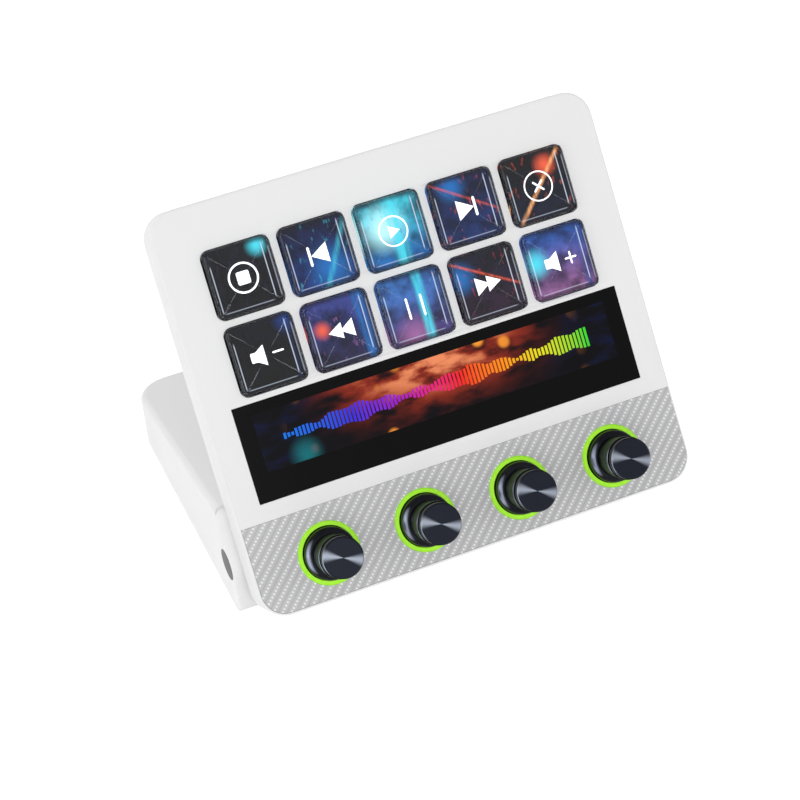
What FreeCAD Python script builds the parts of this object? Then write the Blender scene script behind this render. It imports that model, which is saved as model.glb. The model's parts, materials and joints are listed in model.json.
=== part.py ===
import FreeCAD, Part
import math
import os

os.makedirs("parts", exist_ok=True)
V = FreeCAD.Vector

# A desk keypad: a flat head with ten picture keys, a display strip and four lit push-and-turn knobs,
# hinged near its bottom edge to a wedge-shaped base. Lengths are in millimetres.
# The head is drawn flat: x to the right, y up the face from its bottom edge, z out of the face.
# It is then tilted and set on the hinge axis. The base is drawn upright about the hinge axis.

# Head shells
FACE_CORNER = 8.0
FACE_EDGE = 0.8
FACE_THICK = 1.8
SIDE_THICK = 2.0
REAR_THICK = 2.2
REAR_EDGE = 1.6
FACE_TILT_DEG = 54.0

# Keys, and the plain face round them
KEY_COLUMNS = 5
KEY_ROWS = 2
KEY_WIDTH = 19.6
KEY_HEIGHT = 19.5
KEY_GAP_X = 2.9
KEY_GAP_Y = 2.7
KEYS_ABOVE_STRIP = 2.05
KEY_TOP_MARGIN = 13.75
KEY_SIDE_MARGIN = 12.2
KEY_CORNER = 2.2
KEY_PROUD = 1.4
KEY_BEVEL = 0.8
KEY_FIT = 0.4
KEY_FLANGE = 0.9
KEY_FLANGE_THICK = 0.9
KEY_REST_GAP = 0.3
KEY_TRAVEL = 0.8
MAT_GAP = 0.15
MAT_THICK = 0.9
MAT_MARGIN = 3.0
MAT_WINDOW = 17.0

# Display strip and display
STRIP_HEIGHT = 27.7
STRIP_ABOVE_TRIM = 5.2
STRIP_SIDE_MARGIN = 8.0
STRIP_THICK = 1.2
STRIP_FIT = 0.1
STRIP_LEDGE = 3.2
LCD_PAST_STRIP = 1.35
LCD_UP_STRIP = 2.3
LCD_THICK = 2.0
LCD_GAP = 0.1
TRAY_THICK = 0.4
TRAY_LIP = 0.8
FLEX_WIDTH = 22.0
FLEX_THICK = 0.2
FLEX_LOOP = 2.2
FLEX_TAB = 5.0

# Knob panel, rings and knobs
TRIM_HEIGHT = 27.1
TRIM_THICK = 1.0
TRIM_RIM = 0.8
TRIM_FIT = 0.1
KNOB_COUNT = 4
KNOB_SIDE_MARGIN = 22.9
RING_UP = 4.1
RING_OUTER = 9.1
RING_WIDTH = 1.2
RING_PROUD = 0.25
RING_FIT = 0.1
RING_FLANGE = 1.2
RING_FLANGE_THICK = 0.6
SKIRT_FIT = 0.3
SKIRT_GAP = 0.7
SKIRT_EDGE = 1.2
SHOULDER_RISE = 1.7
NECK_R = 5.8
NECK_LENGTH = 8.0
COLLAR_R = 6.25
COLLAR_THICK = 0.8
GROOVE_R = 5.55
GROOVE_THICK = 0.5
CAP_R = 5.95
CAP_THICK = 2.6
CAP_FLOOR = 3.5
CAP_BEVEL = 0.5
KNOB_TRAVEL = 0.5

# Encoders
SHAFT_R = 2.95
SHAFT_BORE_R = 1.25
RUNNING_GAP = 0.05
PUSH_FIT = 0.02
ENCODER_SIZE = 11.7
ENCODER_RING_GAP = 0.8
ENCODER_FLOOR = 0.9
ENCODER_BUSH_R = 3.7
ENCODER_BUSH_TOP = 0.1
ENCODER_WELL_R = 4.2
PLUNGER_R = 1.2
PLUNGER_FOOT_R = 2.4
PLUNGER_FOOT_THICK = 0.5
PLUNGER_STEM = 4.0
PLUNGER_GAP = 0.1

# Boards
BOARD_THICK = 1.0
BOARD_REAR_GAP = 0.4
BOARD_SIDE_GAP = 4.0
BOARD_BELOW_LCD = 0.9
ENCODER_BOARD_Y = 4.0
ENCODER_BOARD_PAST_TRIM = 1.9
ENCODER_BOARD_BOSS_GAP = 3.2
CHIP_THICK = 0.8
CHIP_TRAY_GAP = 0.25
CHIP_BIG = 12.0
CHIP_SMALL = 6.0
CHIP_STEP = 24.0
CHIP_UP_BOARD = 28.3
LED_SIZE = 1.6
LED_THICK = 0.8
LEDS_PER_RING = 4
RIBBON_WIDTH = 14.0
RIBBON_THICK = 0.2
RIBBON_LAP = 3.0
USB_WIDTH = 8.94
USB_THICK = 3.26
USB_LENGTH = 7.3
USB_WALL = 0.3
USB_FIT = 0.2
USB_TONGUE_THICK = 0.7
USB_TONGUE_WIDTH = 6.7
USB_TONGUE_SHORT = 1.0
USB_FLOOR = 1.5
USB_ROUND_SHARE = 0.45

# Screws of the head
HEAD_BOSS_R = 2.6
HEAD_BOSS_SIDE = 6.2
HEAD_BOSS_LOW_Y = 7.0
HEAD_BOSS_TOP = 3.2
SCREW_R = 1.0
SCREW_HEAD_R = 2.0
SCREW_HEAD_THICK = 1.2
SCREW_HEAD_SINK = 0.2
SCREW_BITE = 5.0
SCREW_FIT = 0.05
SCREW_TIP_ROOM = 0.6
DRIVE_R = 0.9
DRIVE_DEPTH = 0.6

# Hinge
HINGE_UP = 16.7
HINGE_BEHIND = 5.5
HINGE_HEIGHT = 16.0
HINGE_RANGE_DEG = 16.0
BARREL_R = 5.0
CHEEK_THICK = 15.05
PIN_R = 2.0
PIN_GRIP = 9.0
PIN_BOTTOM_ROOM = 0.6
WASHER_R = 4.6
WASHER_THICK = 0.8
WASHER_GAP = 0.35
HINGE_CAP_EDGE = 0.4
HINGE_CAP_THICK = 1.2
HINGE_CAP_FIT = 0.05

# Base
BASE_PAST_FACE = 2.8
BASE_REAR = 85.5
BASE_REAR_HEIGHT = 17.7
BASE_CONTACT_UP = 33.9
BASE_HEAD_GAP = 0.4
BASE_WALL = 2.2
BASE_CORNER = 10.0
BASE_EDGE = 2.0
CHEEK_TOE = 6.0
FOOT_PROUD = 1.2
FOOT_SINK = 0.6
FOOT_SIDE = 17.8
FOOT_WIDTH = 7.0
FOOT_FROM_END = 8.0
FOOT_ROUND = 2.0
COVER_THICK = 2.0
COVER_FIT = 0.2
BASE_BOSS_R = 3.2
BASE_BOSS_SIDE = 11.8
BASE_BOSS_FROM_END = 17.0
BALLAST_SIDE = 19.8
BALLAST_DEPTH = 48.0
BALLAST_THICK = 6.0
BALLAST_ROUND = 3.0

# Every cut runs this far past the face that it opens
OVERRUN = 1.0

# Places up and across the face, stacked from its bottom edge
KEY_PITCH_X = KEY_WIDTH + KEY_GAP_X
KEY_PITCH_Y = KEY_HEIGHT + KEY_GAP_Y
STRIP_Y = TRIM_HEIGHT + STRIP_ABOVE_TRIM
KEY_LOW_ROW_Y = STRIP_Y + STRIP_HEIGHT + KEYS_ABOVE_STRIP + KEY_HEIGHT / 2
KEY_TOP_ROW_Y = KEY_LOW_ROW_Y + KEY_PITCH_Y * (KEY_ROWS - 1)
FACE_HEIGHT = KEY_TOP_ROW_Y + KEY_HEIGHT / 2 + KEY_TOP_MARGIN
FACE_WIDTH = KEY_PITCH_X * (KEY_COLUMNS - 1) + KEY_WIDTH + 2 * KEY_SIDE_MARGIN
STRIP_WIDTH = FACE_WIDTH - 2 * STRIP_SIDE_MARGIN
LCD_WIDTH = STRIP_WIDTH + 2 * LCD_PAST_STRIP
LCD_Y = STRIP_Y + LCD_UP_STRIP
LCD_HEIGHT = FACE_HEIGHT - TRIM_FIT - USB_LENGTH - TRAY_THICK - LCD_GAP - LCD_Y
KNOB_Y = RING_UP + RING_OUTER
KNOB_PITCH = (FACE_WIDTH - 2 * KNOB_SIDE_MARGIN) / (KNOB_COUNT - 1)
HEAD_BOSS_X = FACE_WIDTH / 2 - HEAD_BOSS_SIDE
HEAD_BOSS_TOP_Y = FACE_HEIGHT - HEAD_BOSS_TOP
MAIN_BOARD_Y = LCD_Y - BOARD_BELOW_LCD
MAIN_BOARD_TOP_Y = FACE_HEIGHT - SIDE_THICK - BOARD_REAR_GAP
ENCODER_BOARD_HEIGHT = TRIM_HEIGHT + ENCODER_BOARD_PAST_TRIM - ENCODER_BOARD_Y
ENCODER_BOARD_WIDTH = 2 * (HEAD_BOSS_X - HEAD_BOSS_R - ENCODER_BOARD_BOSS_GAP)
CHIP_Y = MAIN_BOARD_Y + CHIP_UP_BOARD

# Levels through the head, from the face's surface backwards
KEY_FLANGE_TOP = -FACE_THICK - KEY_REST_GAP
KEY_BOTTOM = KEY_FLANGE_TOP - KEY_FLANGE_THICK
MAT_TOP = KEY_BOTTOM - KEY_TRAVEL - MAT_GAP
LCD_TOP = MAT_TOP - MAT_THICK - LCD_GAP
LCD_BOTTOM = LCD_TOP - LCD_THICK
BOARD_TOP = LCD_BOTTOM - TRAY_THICK - CHIP_TRAY_GAP - CHIP_THICK
BOARD_BOTTOM = BOARD_TOP - BOARD_THICK
REAR_LEVEL = BOARD_BOTTOM - BOARD_REAR_GAP
HEAD_DEPTH = REAR_THICK - REAR_LEVEL
ENCODER_TOP = -FACE_THICK - RING_FLANGE_THICK - ENCODER_RING_GAP

# The knob's rings and levels
RING_INNER = RING_OUTER - RING_WIDTH
LED_RING_R = (RING_OUTER + RING_INNER) / 2
SKIRT_R = RING_INNER - SKIRT_FIT
NECK_AT = SKIRT_GAP + SKIRT_EDGE + SHOULDER_RISE
COLLAR_LOW = NECK_AT + NECK_LENGTH
CAP_LOW = COLLAR_LOW + COLLAR_THICK + GROOVE_THICK
CAP_TOP = CAP_LOW + CAP_THICK
SHAFT_TOP = CAP_TOP - CAP_FLOOR

# The hinge and the base
TILT = math.radians(FACE_TILT_DEG)
HINGE_RANGE = math.radians(HINGE_RANGE_DEG)
HINGE_BACK = HEAD_DEPTH + HINGE_BEHIND
HEAD_CLEAR = HINGE_BEHIND - BASE_HEAD_GAP
HINGE_CAP_R = HEAD_CLEAR - HINGE_CAP_EDGE
BASE_BOTTOM = FOOT_PROUD - HINGE_HEIGHT
BASE_WIDTH = FACE_WIDTH + 2 * BASE_PAST_FACE
NOTCH_HALF = BASE_WIDTH / 2 - CHEEK_THICK
BARREL_HALF = NOTCH_HALF - WASHER_THICK - WASHER_GAP
FOOT_LENGTH = BASE_WIDTH - 2 * FOOT_SIDE
BASE_BOSS_X = BASE_WIDTH / 2 - BASE_BOSS_SIDE
BALLAST_WIDTH = BASE_WIDTH - 2 * BALLAST_SIDE


def block(x_mid, y_mid, size_x, size_y, low, high):
    """A box centred in x and y between two levels."""
    return Part.makeBox(size_x, size_y, high - low, V(x_mid - size_x / 2, y_mid - size_y / 2, low))


def runs_along(edge, direction):
    """Whether a straight edge lies along a direction."""
    if not isinstance(edge.Curve, Part.Line):
        return False
    return abs(abs(edge.Curve.Direction.dot(direction)) - 1) < 1e-6


def round_block(x_mid, y_mid, size_x, size_y, low, high, radius):
    """A box with its four upright edges rounded."""
    body = block(x_mid, y_mid, size_x, size_y, low, high)
    return body.makeFillet(radius, [e for e in body.Edges if runs_along(e, V(0, 0, 1))])


def disc(x_mid, y_mid, radius, low, high):
    """A round disc between two levels."""
    return Part.makeCylinder(radius, high - low, V(x_mid, y_mid, low))


def tube(x_mid, y_mid, outer, inner, low, high):
    """A ring between two levels."""
    return disc(x_mid, y_mid, outer, low, high).cut(disc(x_mid, y_mid, inner, low, high))


def cross_rod(radius, x_start, x_end, y_mid, z_mid):
    """A rod along x."""
    return Part.makeCylinder(radius, x_end - x_start, V(x_start, y_mid, z_mid), V(1, 0, 0))


def edges_at_level(shape, level):
    """The edges that lie wholly at one level."""
    slack = FACE_EDGE / 100
    return [e for e in shape.Edges
            if abs(e.BoundBox.ZMin - level) < slack and abs(e.BoundBox.ZMax - level) < slack]


def key_places():
    """The keys' centres, row by row from the top left."""
    left = -KEY_PITCH_X * (KEY_COLUMNS - 1) / 2
    return [(left + column * KEY_PITCH_X, KEY_TOP_ROW_Y - row * KEY_PITCH_Y)
            for row in range(KEY_ROWS) for column in range(KEY_COLUMNS)]


def knob_places():
    """The knobs' centres from left to right."""
    left = -KNOB_PITCH * (KNOB_COUNT - 1) / 2
    return [(left + index * KNOB_PITCH, KNOB_Y) for index in range(KNOB_COUNT)]


def head_boss_places():
    """The centres of the head's four screw bosses."""
    return [(side * HEAD_BOSS_X, y) for side in (-1, 1) for y in (HEAD_BOSS_LOW_Y, HEAD_BOSS_TOP_Y)]


def trim_outline(inset, low, high):
    """The foot of the face up to the trim's top line, drawn in from the face's edge."""
    whole = round_block(0, FACE_HEIGHT / 2, FACE_WIDTH - 2 * inset, FACE_HEIGHT - 2 * inset, low, high,
                        FACE_CORNER - inset)
    top = TRIM_HEIGHT + TRIM_RIM - inset
    return whole.common(block(0, top / 2, FACE_WIDTH, top, low, high))


def usb_block(grow, low_y, high_y):
    """The outline of the socket, grown on every side, along the head's top wall."""
    level = BOARD_TOP + USB_THICK / 2
    thick = USB_THICK + 2 * grow
    width = USB_WIDTH + 2 * grow
    box = Part.makeBox(width, high_y - low_y, thick, V(-width / 2, low_y, level - thick / 2))
    return box.makeFillet(thick * USB_ROUND_SHARE, [e for e in box.Edges if runs_along(e, V(0, 1, 0))])


def front_cover():
    """The white front shell: face plate and side walls, with every window of the face."""
    shell = round_block(0, FACE_HEIGHT / 2, FACE_WIDTH, FACE_HEIGHT, REAR_LEVEL, 0, FACE_CORNER)
    shell = shell.makeFillet(FACE_EDGE, edges_at_level(shell, 0))
    shell = shell.cut(round_block(0, FACE_HEIGHT / 2, FACE_WIDTH - 2 * SIDE_THICK,
                                  FACE_HEIGHT - 2 * SIDE_THICK, REAR_LEVEL - OVERRUN, -FACE_THICK,
                                  FACE_CORNER - SIDE_THICK))
    for x, y in head_boss_places():
        shell = shell.fuse(disc(x, y, HEAD_BOSS_R, REAR_LEVEL, -FACE_THICK))
    cuts = []
    for x, y in key_places():
        cuts.append(round_block(x, y, KEY_WIDTH + 2 * KEY_FIT, KEY_HEIGHT + 2 * KEY_FIT,
                                -FACE_THICK - OVERRUN, OVERRUN, KEY_CORNER + KEY_FIT))
    strip_y = STRIP_Y + STRIP_HEIGHT / 2
    cuts.append(block(0, strip_y, STRIP_WIDTH + 2 * STRIP_FIT, STRIP_HEIGHT + 2 * STRIP_FIT,
                      -STRIP_THICK, OVERRUN))
    cuts.append(block(0, strip_y, STRIP_WIDTH - 2 * STRIP_LEDGE, STRIP_HEIGHT - 2 * STRIP_LEDGE,
                      -FACE_THICK - OVERRUN, OVERRUN))
    cuts.append(trim_outline(TRIM_RIM - TRIM_FIT, -TRIM_THICK, OVERRUN))
    for x, y in knob_places():
        cuts.append(disc(x, y, RING_OUTER + RING_FIT, -FACE_THICK - OVERRUN, OVERRUN))
    for x, y in head_boss_places():
        depth = SCREW_BITE + SCREW_TIP_ROOM
        cuts.append(disc(x, y, SCREW_R + PUSH_FIT, REAR_LEVEL - OVERRUN, REAR_LEVEL + depth))
    cuts.append(usb_block(USB_FIT, FACE_HEIGHT - SIDE_THICK - OVERRUN, FACE_HEIGHT + OVERRUN))
    return shell.cut(cuts)


def rear_cover():
    """The white back plate with the hinge barrel that carries the head."""
    plate = round_block(0, FACE_HEIGHT / 2, FACE_WIDTH, FACE_HEIGHT, -HEAD_DEPTH, REAR_LEVEL,
                        FACE_CORNER)
    plate = plate.makeFillet(REAR_EDGE, edges_at_level(plate, -HEAD_DEPTH))
    neck = block(0, HINGE_UP, 2 * BARREL_HALF, 2 * BARREL_R, -HINGE_BACK, -HEAD_DEPTH)
    barrel = cross_rod(BARREL_R, -BARREL_HALF, BARREL_HALF, HINGE_UP, -HINGE_BACK)
    body = plate.fuse([neck, barrel]).removeSplitter()
    cuts = []
    depth = PIN_GRIP + PIN_BOTTOM_ROOM
    for start, end in ((-BARREL_HALF, -BARREL_HALF + depth), (BARREL_HALF - depth, BARREL_HALF)):
        cuts.append(cross_rod(PIN_R + RUNNING_GAP, start, end, HINGE_UP, -HINGE_BACK))
    for x, y in head_boss_places():
        sink = SCREW_HEAD_THICK + SCREW_HEAD_SINK
        cuts.append(disc(x, y, SCREW_R + SCREW_FIT, -HEAD_DEPTH - OVERRUN, REAR_LEVEL + OVERRUN))
        cuts.append(disc(x, y, SCREW_HEAD_R + SCREW_FIT, -HEAD_DEPTH - OVERRUN, -HEAD_DEPTH + sink))
    return body.cut(cuts)


def head_screws():
    """Four screws that hold the rear cover to the front cover."""
    seat = -HEAD_DEPTH + SCREW_HEAD_SINK
    screws = []
    for x, y in head_boss_places():
        head = disc(x, y, SCREW_HEAD_R, seat, seat + SCREW_HEAD_THICK)
        shank = disc(x, y, SCREW_R, seat, REAR_LEVEL + SCREW_BITE)
        screws.append(head.fuse(shank).cut(disc(x, y, DRIVE_R, seat - OVERRUN, seat + DRIVE_DEPTH)))
    return Part.makeCompound(screws)


def knob_panel():
    """The flush trim plate under the knobs."""
    plate = trim_outline(TRIM_RIM, -TRIM_THICK, 0)
    holes = [disc(x, y, RING_OUTER + RING_FIT, -TRIM_THICK - OVERRUN, OVERRUN) for x, y in knob_places()]
    return plate.cut(holes)


def strip_glass():
    """The black glass over the display strip, flush in its ledge."""
    return block(0, STRIP_Y + STRIP_HEIGHT / 2, STRIP_WIDTH, STRIP_HEIGHT, -STRIP_THICK, 0)


def key(x, y):
    """One clear key cap with the flange that keeps it behind the face."""
    cap = round_block(x, y, KEY_WIDTH, KEY_HEIGHT, KEY_BOTTOM, KEY_PROUD, KEY_CORNER)
    cap = cap.makeChamfer(KEY_BEVEL, edges_at_level(cap, KEY_PROUD))
    flange = round_block(x, y, KEY_WIDTH + 2 * KEY_FLANGE, KEY_HEIGHT + 2 * KEY_FLANGE, KEY_BOTTOM,
                         KEY_FLANGE_TOP, KEY_CORNER)
    return cap.fuse(flange)


def key_mat():
    """The silicone mat that the keys press on, with a window under each."""
    width = KEY_PITCH_X * (KEY_COLUMNS - 1) + KEY_WIDTH + 2 * MAT_MARGIN
    height = KEY_PITCH_Y * (KEY_ROWS - 1) + KEY_HEIGHT + 2 * MAT_MARGIN
    middle = KEY_TOP_ROW_Y - KEY_PITCH_Y * (KEY_ROWS - 1) / 2
    mat = block(0, middle, width, height, MAT_TOP - MAT_THICK, MAT_TOP)
    windows = [block(x, y, MAT_WINDOW, MAT_WINDOW, MAT_TOP - MAT_THICK - OVERRUN, MAT_TOP + OVERRUN)
               for x, y in key_places()]
    return mat.cut(windows)


def lcd_panel():
    """The display that lights the keys and the strip."""
    return block(0, LCD_Y + LCD_HEIGHT / 2, LCD_WIDTH, LCD_HEIGHT, LCD_BOTTOM, LCD_TOP)


def lcd_tray():
    """The folded metal tray behind the display."""
    outer_width = LCD_WIDTH + 2 * TRAY_THICK
    outer_height = LCD_HEIGHT + 2 * TRAY_THICK
    middle = LCD_Y + LCD_HEIGHT / 2
    tray = block(0, middle, outer_width, outer_height, LCD_BOTTOM - TRAY_THICK, LCD_BOTTOM + TRAY_LIP)
    return tray.cut(block(0, middle, LCD_WIDTH, LCD_HEIGHT, LCD_BOTTOM, LCD_BOTTOM + TRAY_LIP + OVERRUN))


def lcd_flex():
    """The display's flat cable, looped round the tray's lower edge to the main board."""
    outer = LCD_Y - TRAY_THICK - FLEX_LOOP
    front = LCD_BOTTOM + TRAY_LIP + FLEX_THICK
    lip_y = LCD_Y - TRAY_THICK
    top = block(0, (outer + lip_y) / 2, FLEX_WIDTH, lip_y - outer, front - FLEX_THICK, front)
    side = block(0, outer + FLEX_THICK / 2, FLEX_WIDTH, FLEX_THICK, BOARD_TOP, front)
    tab_end = outer + FLEX_TAB
    tab = block(0, (outer + tab_end) / 2, FLEX_WIDTH, tab_end - outer, BOARD_TOP, BOARD_TOP + FLEX_THICK)
    return top.fuse([side, tab]).removeSplitter()


def main_board():
    """The main circuit board behind the display, notched round the top bosses."""
    middle = (MAIN_BOARD_Y + MAIN_BOARD_TOP_Y) / 2
    board = block(0, middle, FACE_WIDTH - 2 * (SIDE_THICK + BOARD_SIDE_GAP),
                  MAIN_BOARD_TOP_Y - MAIN_BOARD_Y, BOARD_BOTTOM, BOARD_TOP)
    notches = [disc(x, y, HEAD_BOSS_R + SIDE_THICK, BOARD_BOTTOM - OVERRUN, BOARD_TOP + OVERRUN)
               for x, y in head_boss_places()]
    return board.cut(notches)


def board_chips():
    """The processor and four small chips on the back of the main board."""
    chips = [block(0, CHIP_Y, CHIP_BIG, CHIP_BIG, BOARD_TOP, BOARD_TOP + CHIP_THICK)]
    for step in (-2, -1, 1, 2):
        chips.append(block(step * CHIP_STEP, CHIP_Y, CHIP_SMALL, CHIP_SMALL,
                           BOARD_TOP, BOARD_TOP + CHIP_THICK))
    return Part.makeCompound(chips)


def usb_socket():
    """The metal socket on the main board's top edge, with its tongue."""
    mouth = FACE_HEIGHT - TRIM_FIT
    back = mouth - USB_LENGTH
    shell = usb_block(0, back, mouth).cut(usb_block(-USB_WALL, back + USB_FLOOR, mouth + OVERRUN))
    level = BOARD_TOP + USB_THICK / 2
    tongue = Part.makeBox(USB_TONGUE_WIDTH, USB_LENGTH - USB_TONGUE_SHORT, USB_TONGUE_THICK,
                          V(-USB_TONGUE_WIDTH / 2, back, level - USB_TONGUE_THICK / 2))
    return shell.fuse(tongue)


def encoder_board():
    """The circuit board under the knobs."""
    return block(0, ENCODER_BOARD_Y + ENCODER_BOARD_HEIGHT / 2, ENCODER_BOARD_WIDTH, ENCODER_BOARD_HEIGHT,
                 BOARD_BOTTOM, BOARD_TOP)


def ring_leds():
    """The small lamps that light the rings, on the encoder board."""
    lamps = []
    for x, y in knob_places():
        for step in range(LEDS_PER_RING):
            angle = 2 * math.pi * step / LEDS_PER_RING
            lamps.append(block(x + LED_RING_R * math.cos(angle), y + LED_RING_R * math.sin(angle),
                               LED_SIZE, LED_SIZE, BOARD_TOP, BOARD_TOP + LED_THICK))
    return Part.makeCompound(lamps)


def board_ribbon():
    """The flat cable on the backs of the two boards."""
    start = ENCODER_BOARD_Y + ENCODER_BOARD_HEIGHT - RIBBON_LAP
    end = MAIN_BOARD_Y + RIBBON_LAP
    return block(0, (start + end) / 2, RIBBON_WIDTH, end - start, BOARD_BOTTOM - RIBBON_THICK, BOARD_BOTTOM)


def light_ring(x, y):
    """The translucent ring round one knob, held by a flange behind the face."""
    flange_top = -FACE_THICK
    flange_low = flange_top - RING_FLANGE_THICK
    sleeve = tube(x, y, RING_OUTER, RING_INNER, flange_low, RING_PROUD)
    return sleeve.fuse(tube(x, y, RING_OUTER + RING_FLANGE, RING_INNER, flange_low, flange_top))


def encoder(x, y):
    """One rotary encoder's body with its bush, hollow for the shaft and the plunger."""
    floor = BOARD_TOP + ENCODER_FLOOR
    body = block(x, y, ENCODER_SIZE, ENCODER_SIZE, BOARD_TOP, ENCODER_TOP)
    bush = disc(x, y, ENCODER_BUSH_R, ENCODER_TOP, ENCODER_BUSH_TOP)
    well = disc(x, y, ENCODER_WELL_R, floor, ENCODER_TOP - ENCODER_FLOOR)
    bore = disc(x, y, SHAFT_R + RUNNING_GAP, floor, ENCODER_BUSH_TOP + OVERRUN)
    return body.fuse(bush).cut([well, bore])


def plunger_levels():
    """The plunger foot's lower and upper level at rest."""
    low = BOARD_TOP + ENCODER_FLOOR + KNOB_TRAVEL + PLUNGER_GAP
    return low, low + PLUNGER_FOOT_THICK


def plunger(x, y):
    """The push switch's plunger inside the shaft."""
    low, high = plunger_levels()
    return disc(x, y, PLUNGER_FOOT_R, low, high).fuse(disc(x, y, PLUNGER_R, high, high + PLUNGER_STEM))


def shaft(x, y):
    """The encoder's turning shaft, bored for the plunger's stem."""
    foot = plunger_levels()[1]
    rod = disc(x, y, SHAFT_R, foot + PLUNGER_GAP, SHAFT_TOP)
    return rod.cut(disc(x, y, SHAFT_BORE_R, foot, foot + PLUNGER_STEM + PLUNGER_GAP))


def knob(x, y):
    """One turned knob: skirt, shoulder, neck, collar, groove and cap, bored for the shaft."""
    collar_high = COLLAR_LOW + COLLAR_THICK
    points = [
        V(0, 0, SKIRT_GAP),
        V(SKIRT_R, 0, SKIRT_GAP),
        V(SKIRT_R, 0, SKIRT_GAP + SKIRT_EDGE),
        V(NECK_R, 0, NECK_AT),
        V(NECK_R, 0, COLLAR_LOW),
        V(COLLAR_R, 0, COLLAR_LOW),
        V(COLLAR_R, 0, collar_high),
        V(GROOVE_R, 0, collar_high),
        V(GROOVE_R, 0, CAP_LOW),
        V(CAP_R, 0, CAP_LOW),
        V(CAP_R, 0, CAP_TOP - CAP_BEVEL),
        V(CAP_R - CAP_BEVEL, 0, CAP_TOP),
        V(0, 0, CAP_TOP),
    ]
    section = Part.Face(Part.makePolygon(points + points[:1]))
    body = section.revolve(V(0, 0, 0), V(0, 0, 1), 360)
    body.translate(V(x, y, 0))
    hollow = disc(x, y, ENCODER_BUSH_R + SKIRT_GAP, SKIRT_GAP - OVERRUN,
                  ENCODER_BUSH_TOP + KNOB_TRAVEL + SKIRT_GAP)
    bore = disc(x, y, SHAFT_R + PUSH_FIT, SKIRT_GAP - OVERRUN, SHAFT_TOP + PUSH_FIT)
    return body.cut([bore, hollow])


def plane_point(tilt, along):
    """A point (y, z) from the hinge axis on the line that stays behind the head's back at a tilt."""
    return (along * math.cos(tilt) - HEAD_CLEAR * math.sin(tilt),
            along * math.sin(tilt) + HEAD_CLEAR * math.cos(tilt))


def base_profile():
    """The wedge's side outline from the hinge axis: foot, back, sloping top and two front lines."""
    steep = TILT + HINGE_RANGE
    foot_along = (BASE_BOTTOM - HEAD_CLEAR * math.cos(steep)) / math.sin(steep)
    half = HINGE_RANGE / 2
    meet = HEAD_CLEAR / math.cos(half)
    return [plane_point(steep, foot_along),
            (BASE_REAR, BASE_BOTTOM),
            (BASE_REAR, BASE_REAR_HEIGHT - HINGE_HEIGHT),
            plane_point(TILT, BASE_CONTACT_UP - HINGE_UP),
            (-meet * math.sin(TILT + half), meet * math.cos(TILT + half))]


def side_extrusion(outline, half_width):
    """A side outline of (y, z) points drawn out along x on both sides of the middle."""
    points = [V(-half_width, y, z) for y, z in outline]
    return Part.Face(Part.makePolygon(points + points[:1])).extrude(V(2 * half_width, 0, 0))


def slab_front():
    """How far behind the hinge axis the base's slab starts."""
    return plane_point(TILT, BASE_CONTACT_UP - HINGE_UP)[0]


def rear_uprights(shape, at):
    """The upright edges at the back of a base solid."""
    return [e for e in shape.Edges if runs_along(e, V(0, 0, 1)) and e.BoundBox.YMax > at - BASE_WALL / 2]


def base_boss_places():
    """The centres of the base's four screw bosses."""
    front = slab_front() + BASE_BOSS_FROM_END
    rear = BASE_REAR - BASE_BOSS_FROM_END
    return [(side * BASE_BOSS_X, y) for side in (-1, 1) for y in (front, rear)]


def base_cavity(inset, low, roof_drop):
    """The space inside the slab, or a smaller one of the same form."""
    contact = base_profile()[3]
    rear_top = base_profile()[2]
    front_y = slab_front() + BASE_WALL + inset
    rear_y = BASE_REAR - BASE_WALL - inset
    slope = (rear_top[1] - contact[1]) / (rear_top[0] - contact[0])
    outline = [(front_y, low), (rear_y, low),
               (rear_y, rear_top[1] - roof_drop),
               (front_y, contact[1] + slope * (front_y - contact[0]) - roof_drop)]
    body = side_extrusion(outline, BASE_WIDTH / 2 - BASE_WALL - inset)
    return body.makeFillet(BASE_CORNER - BASE_WALL - inset, rear_uprights(body, rear_y))


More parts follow.
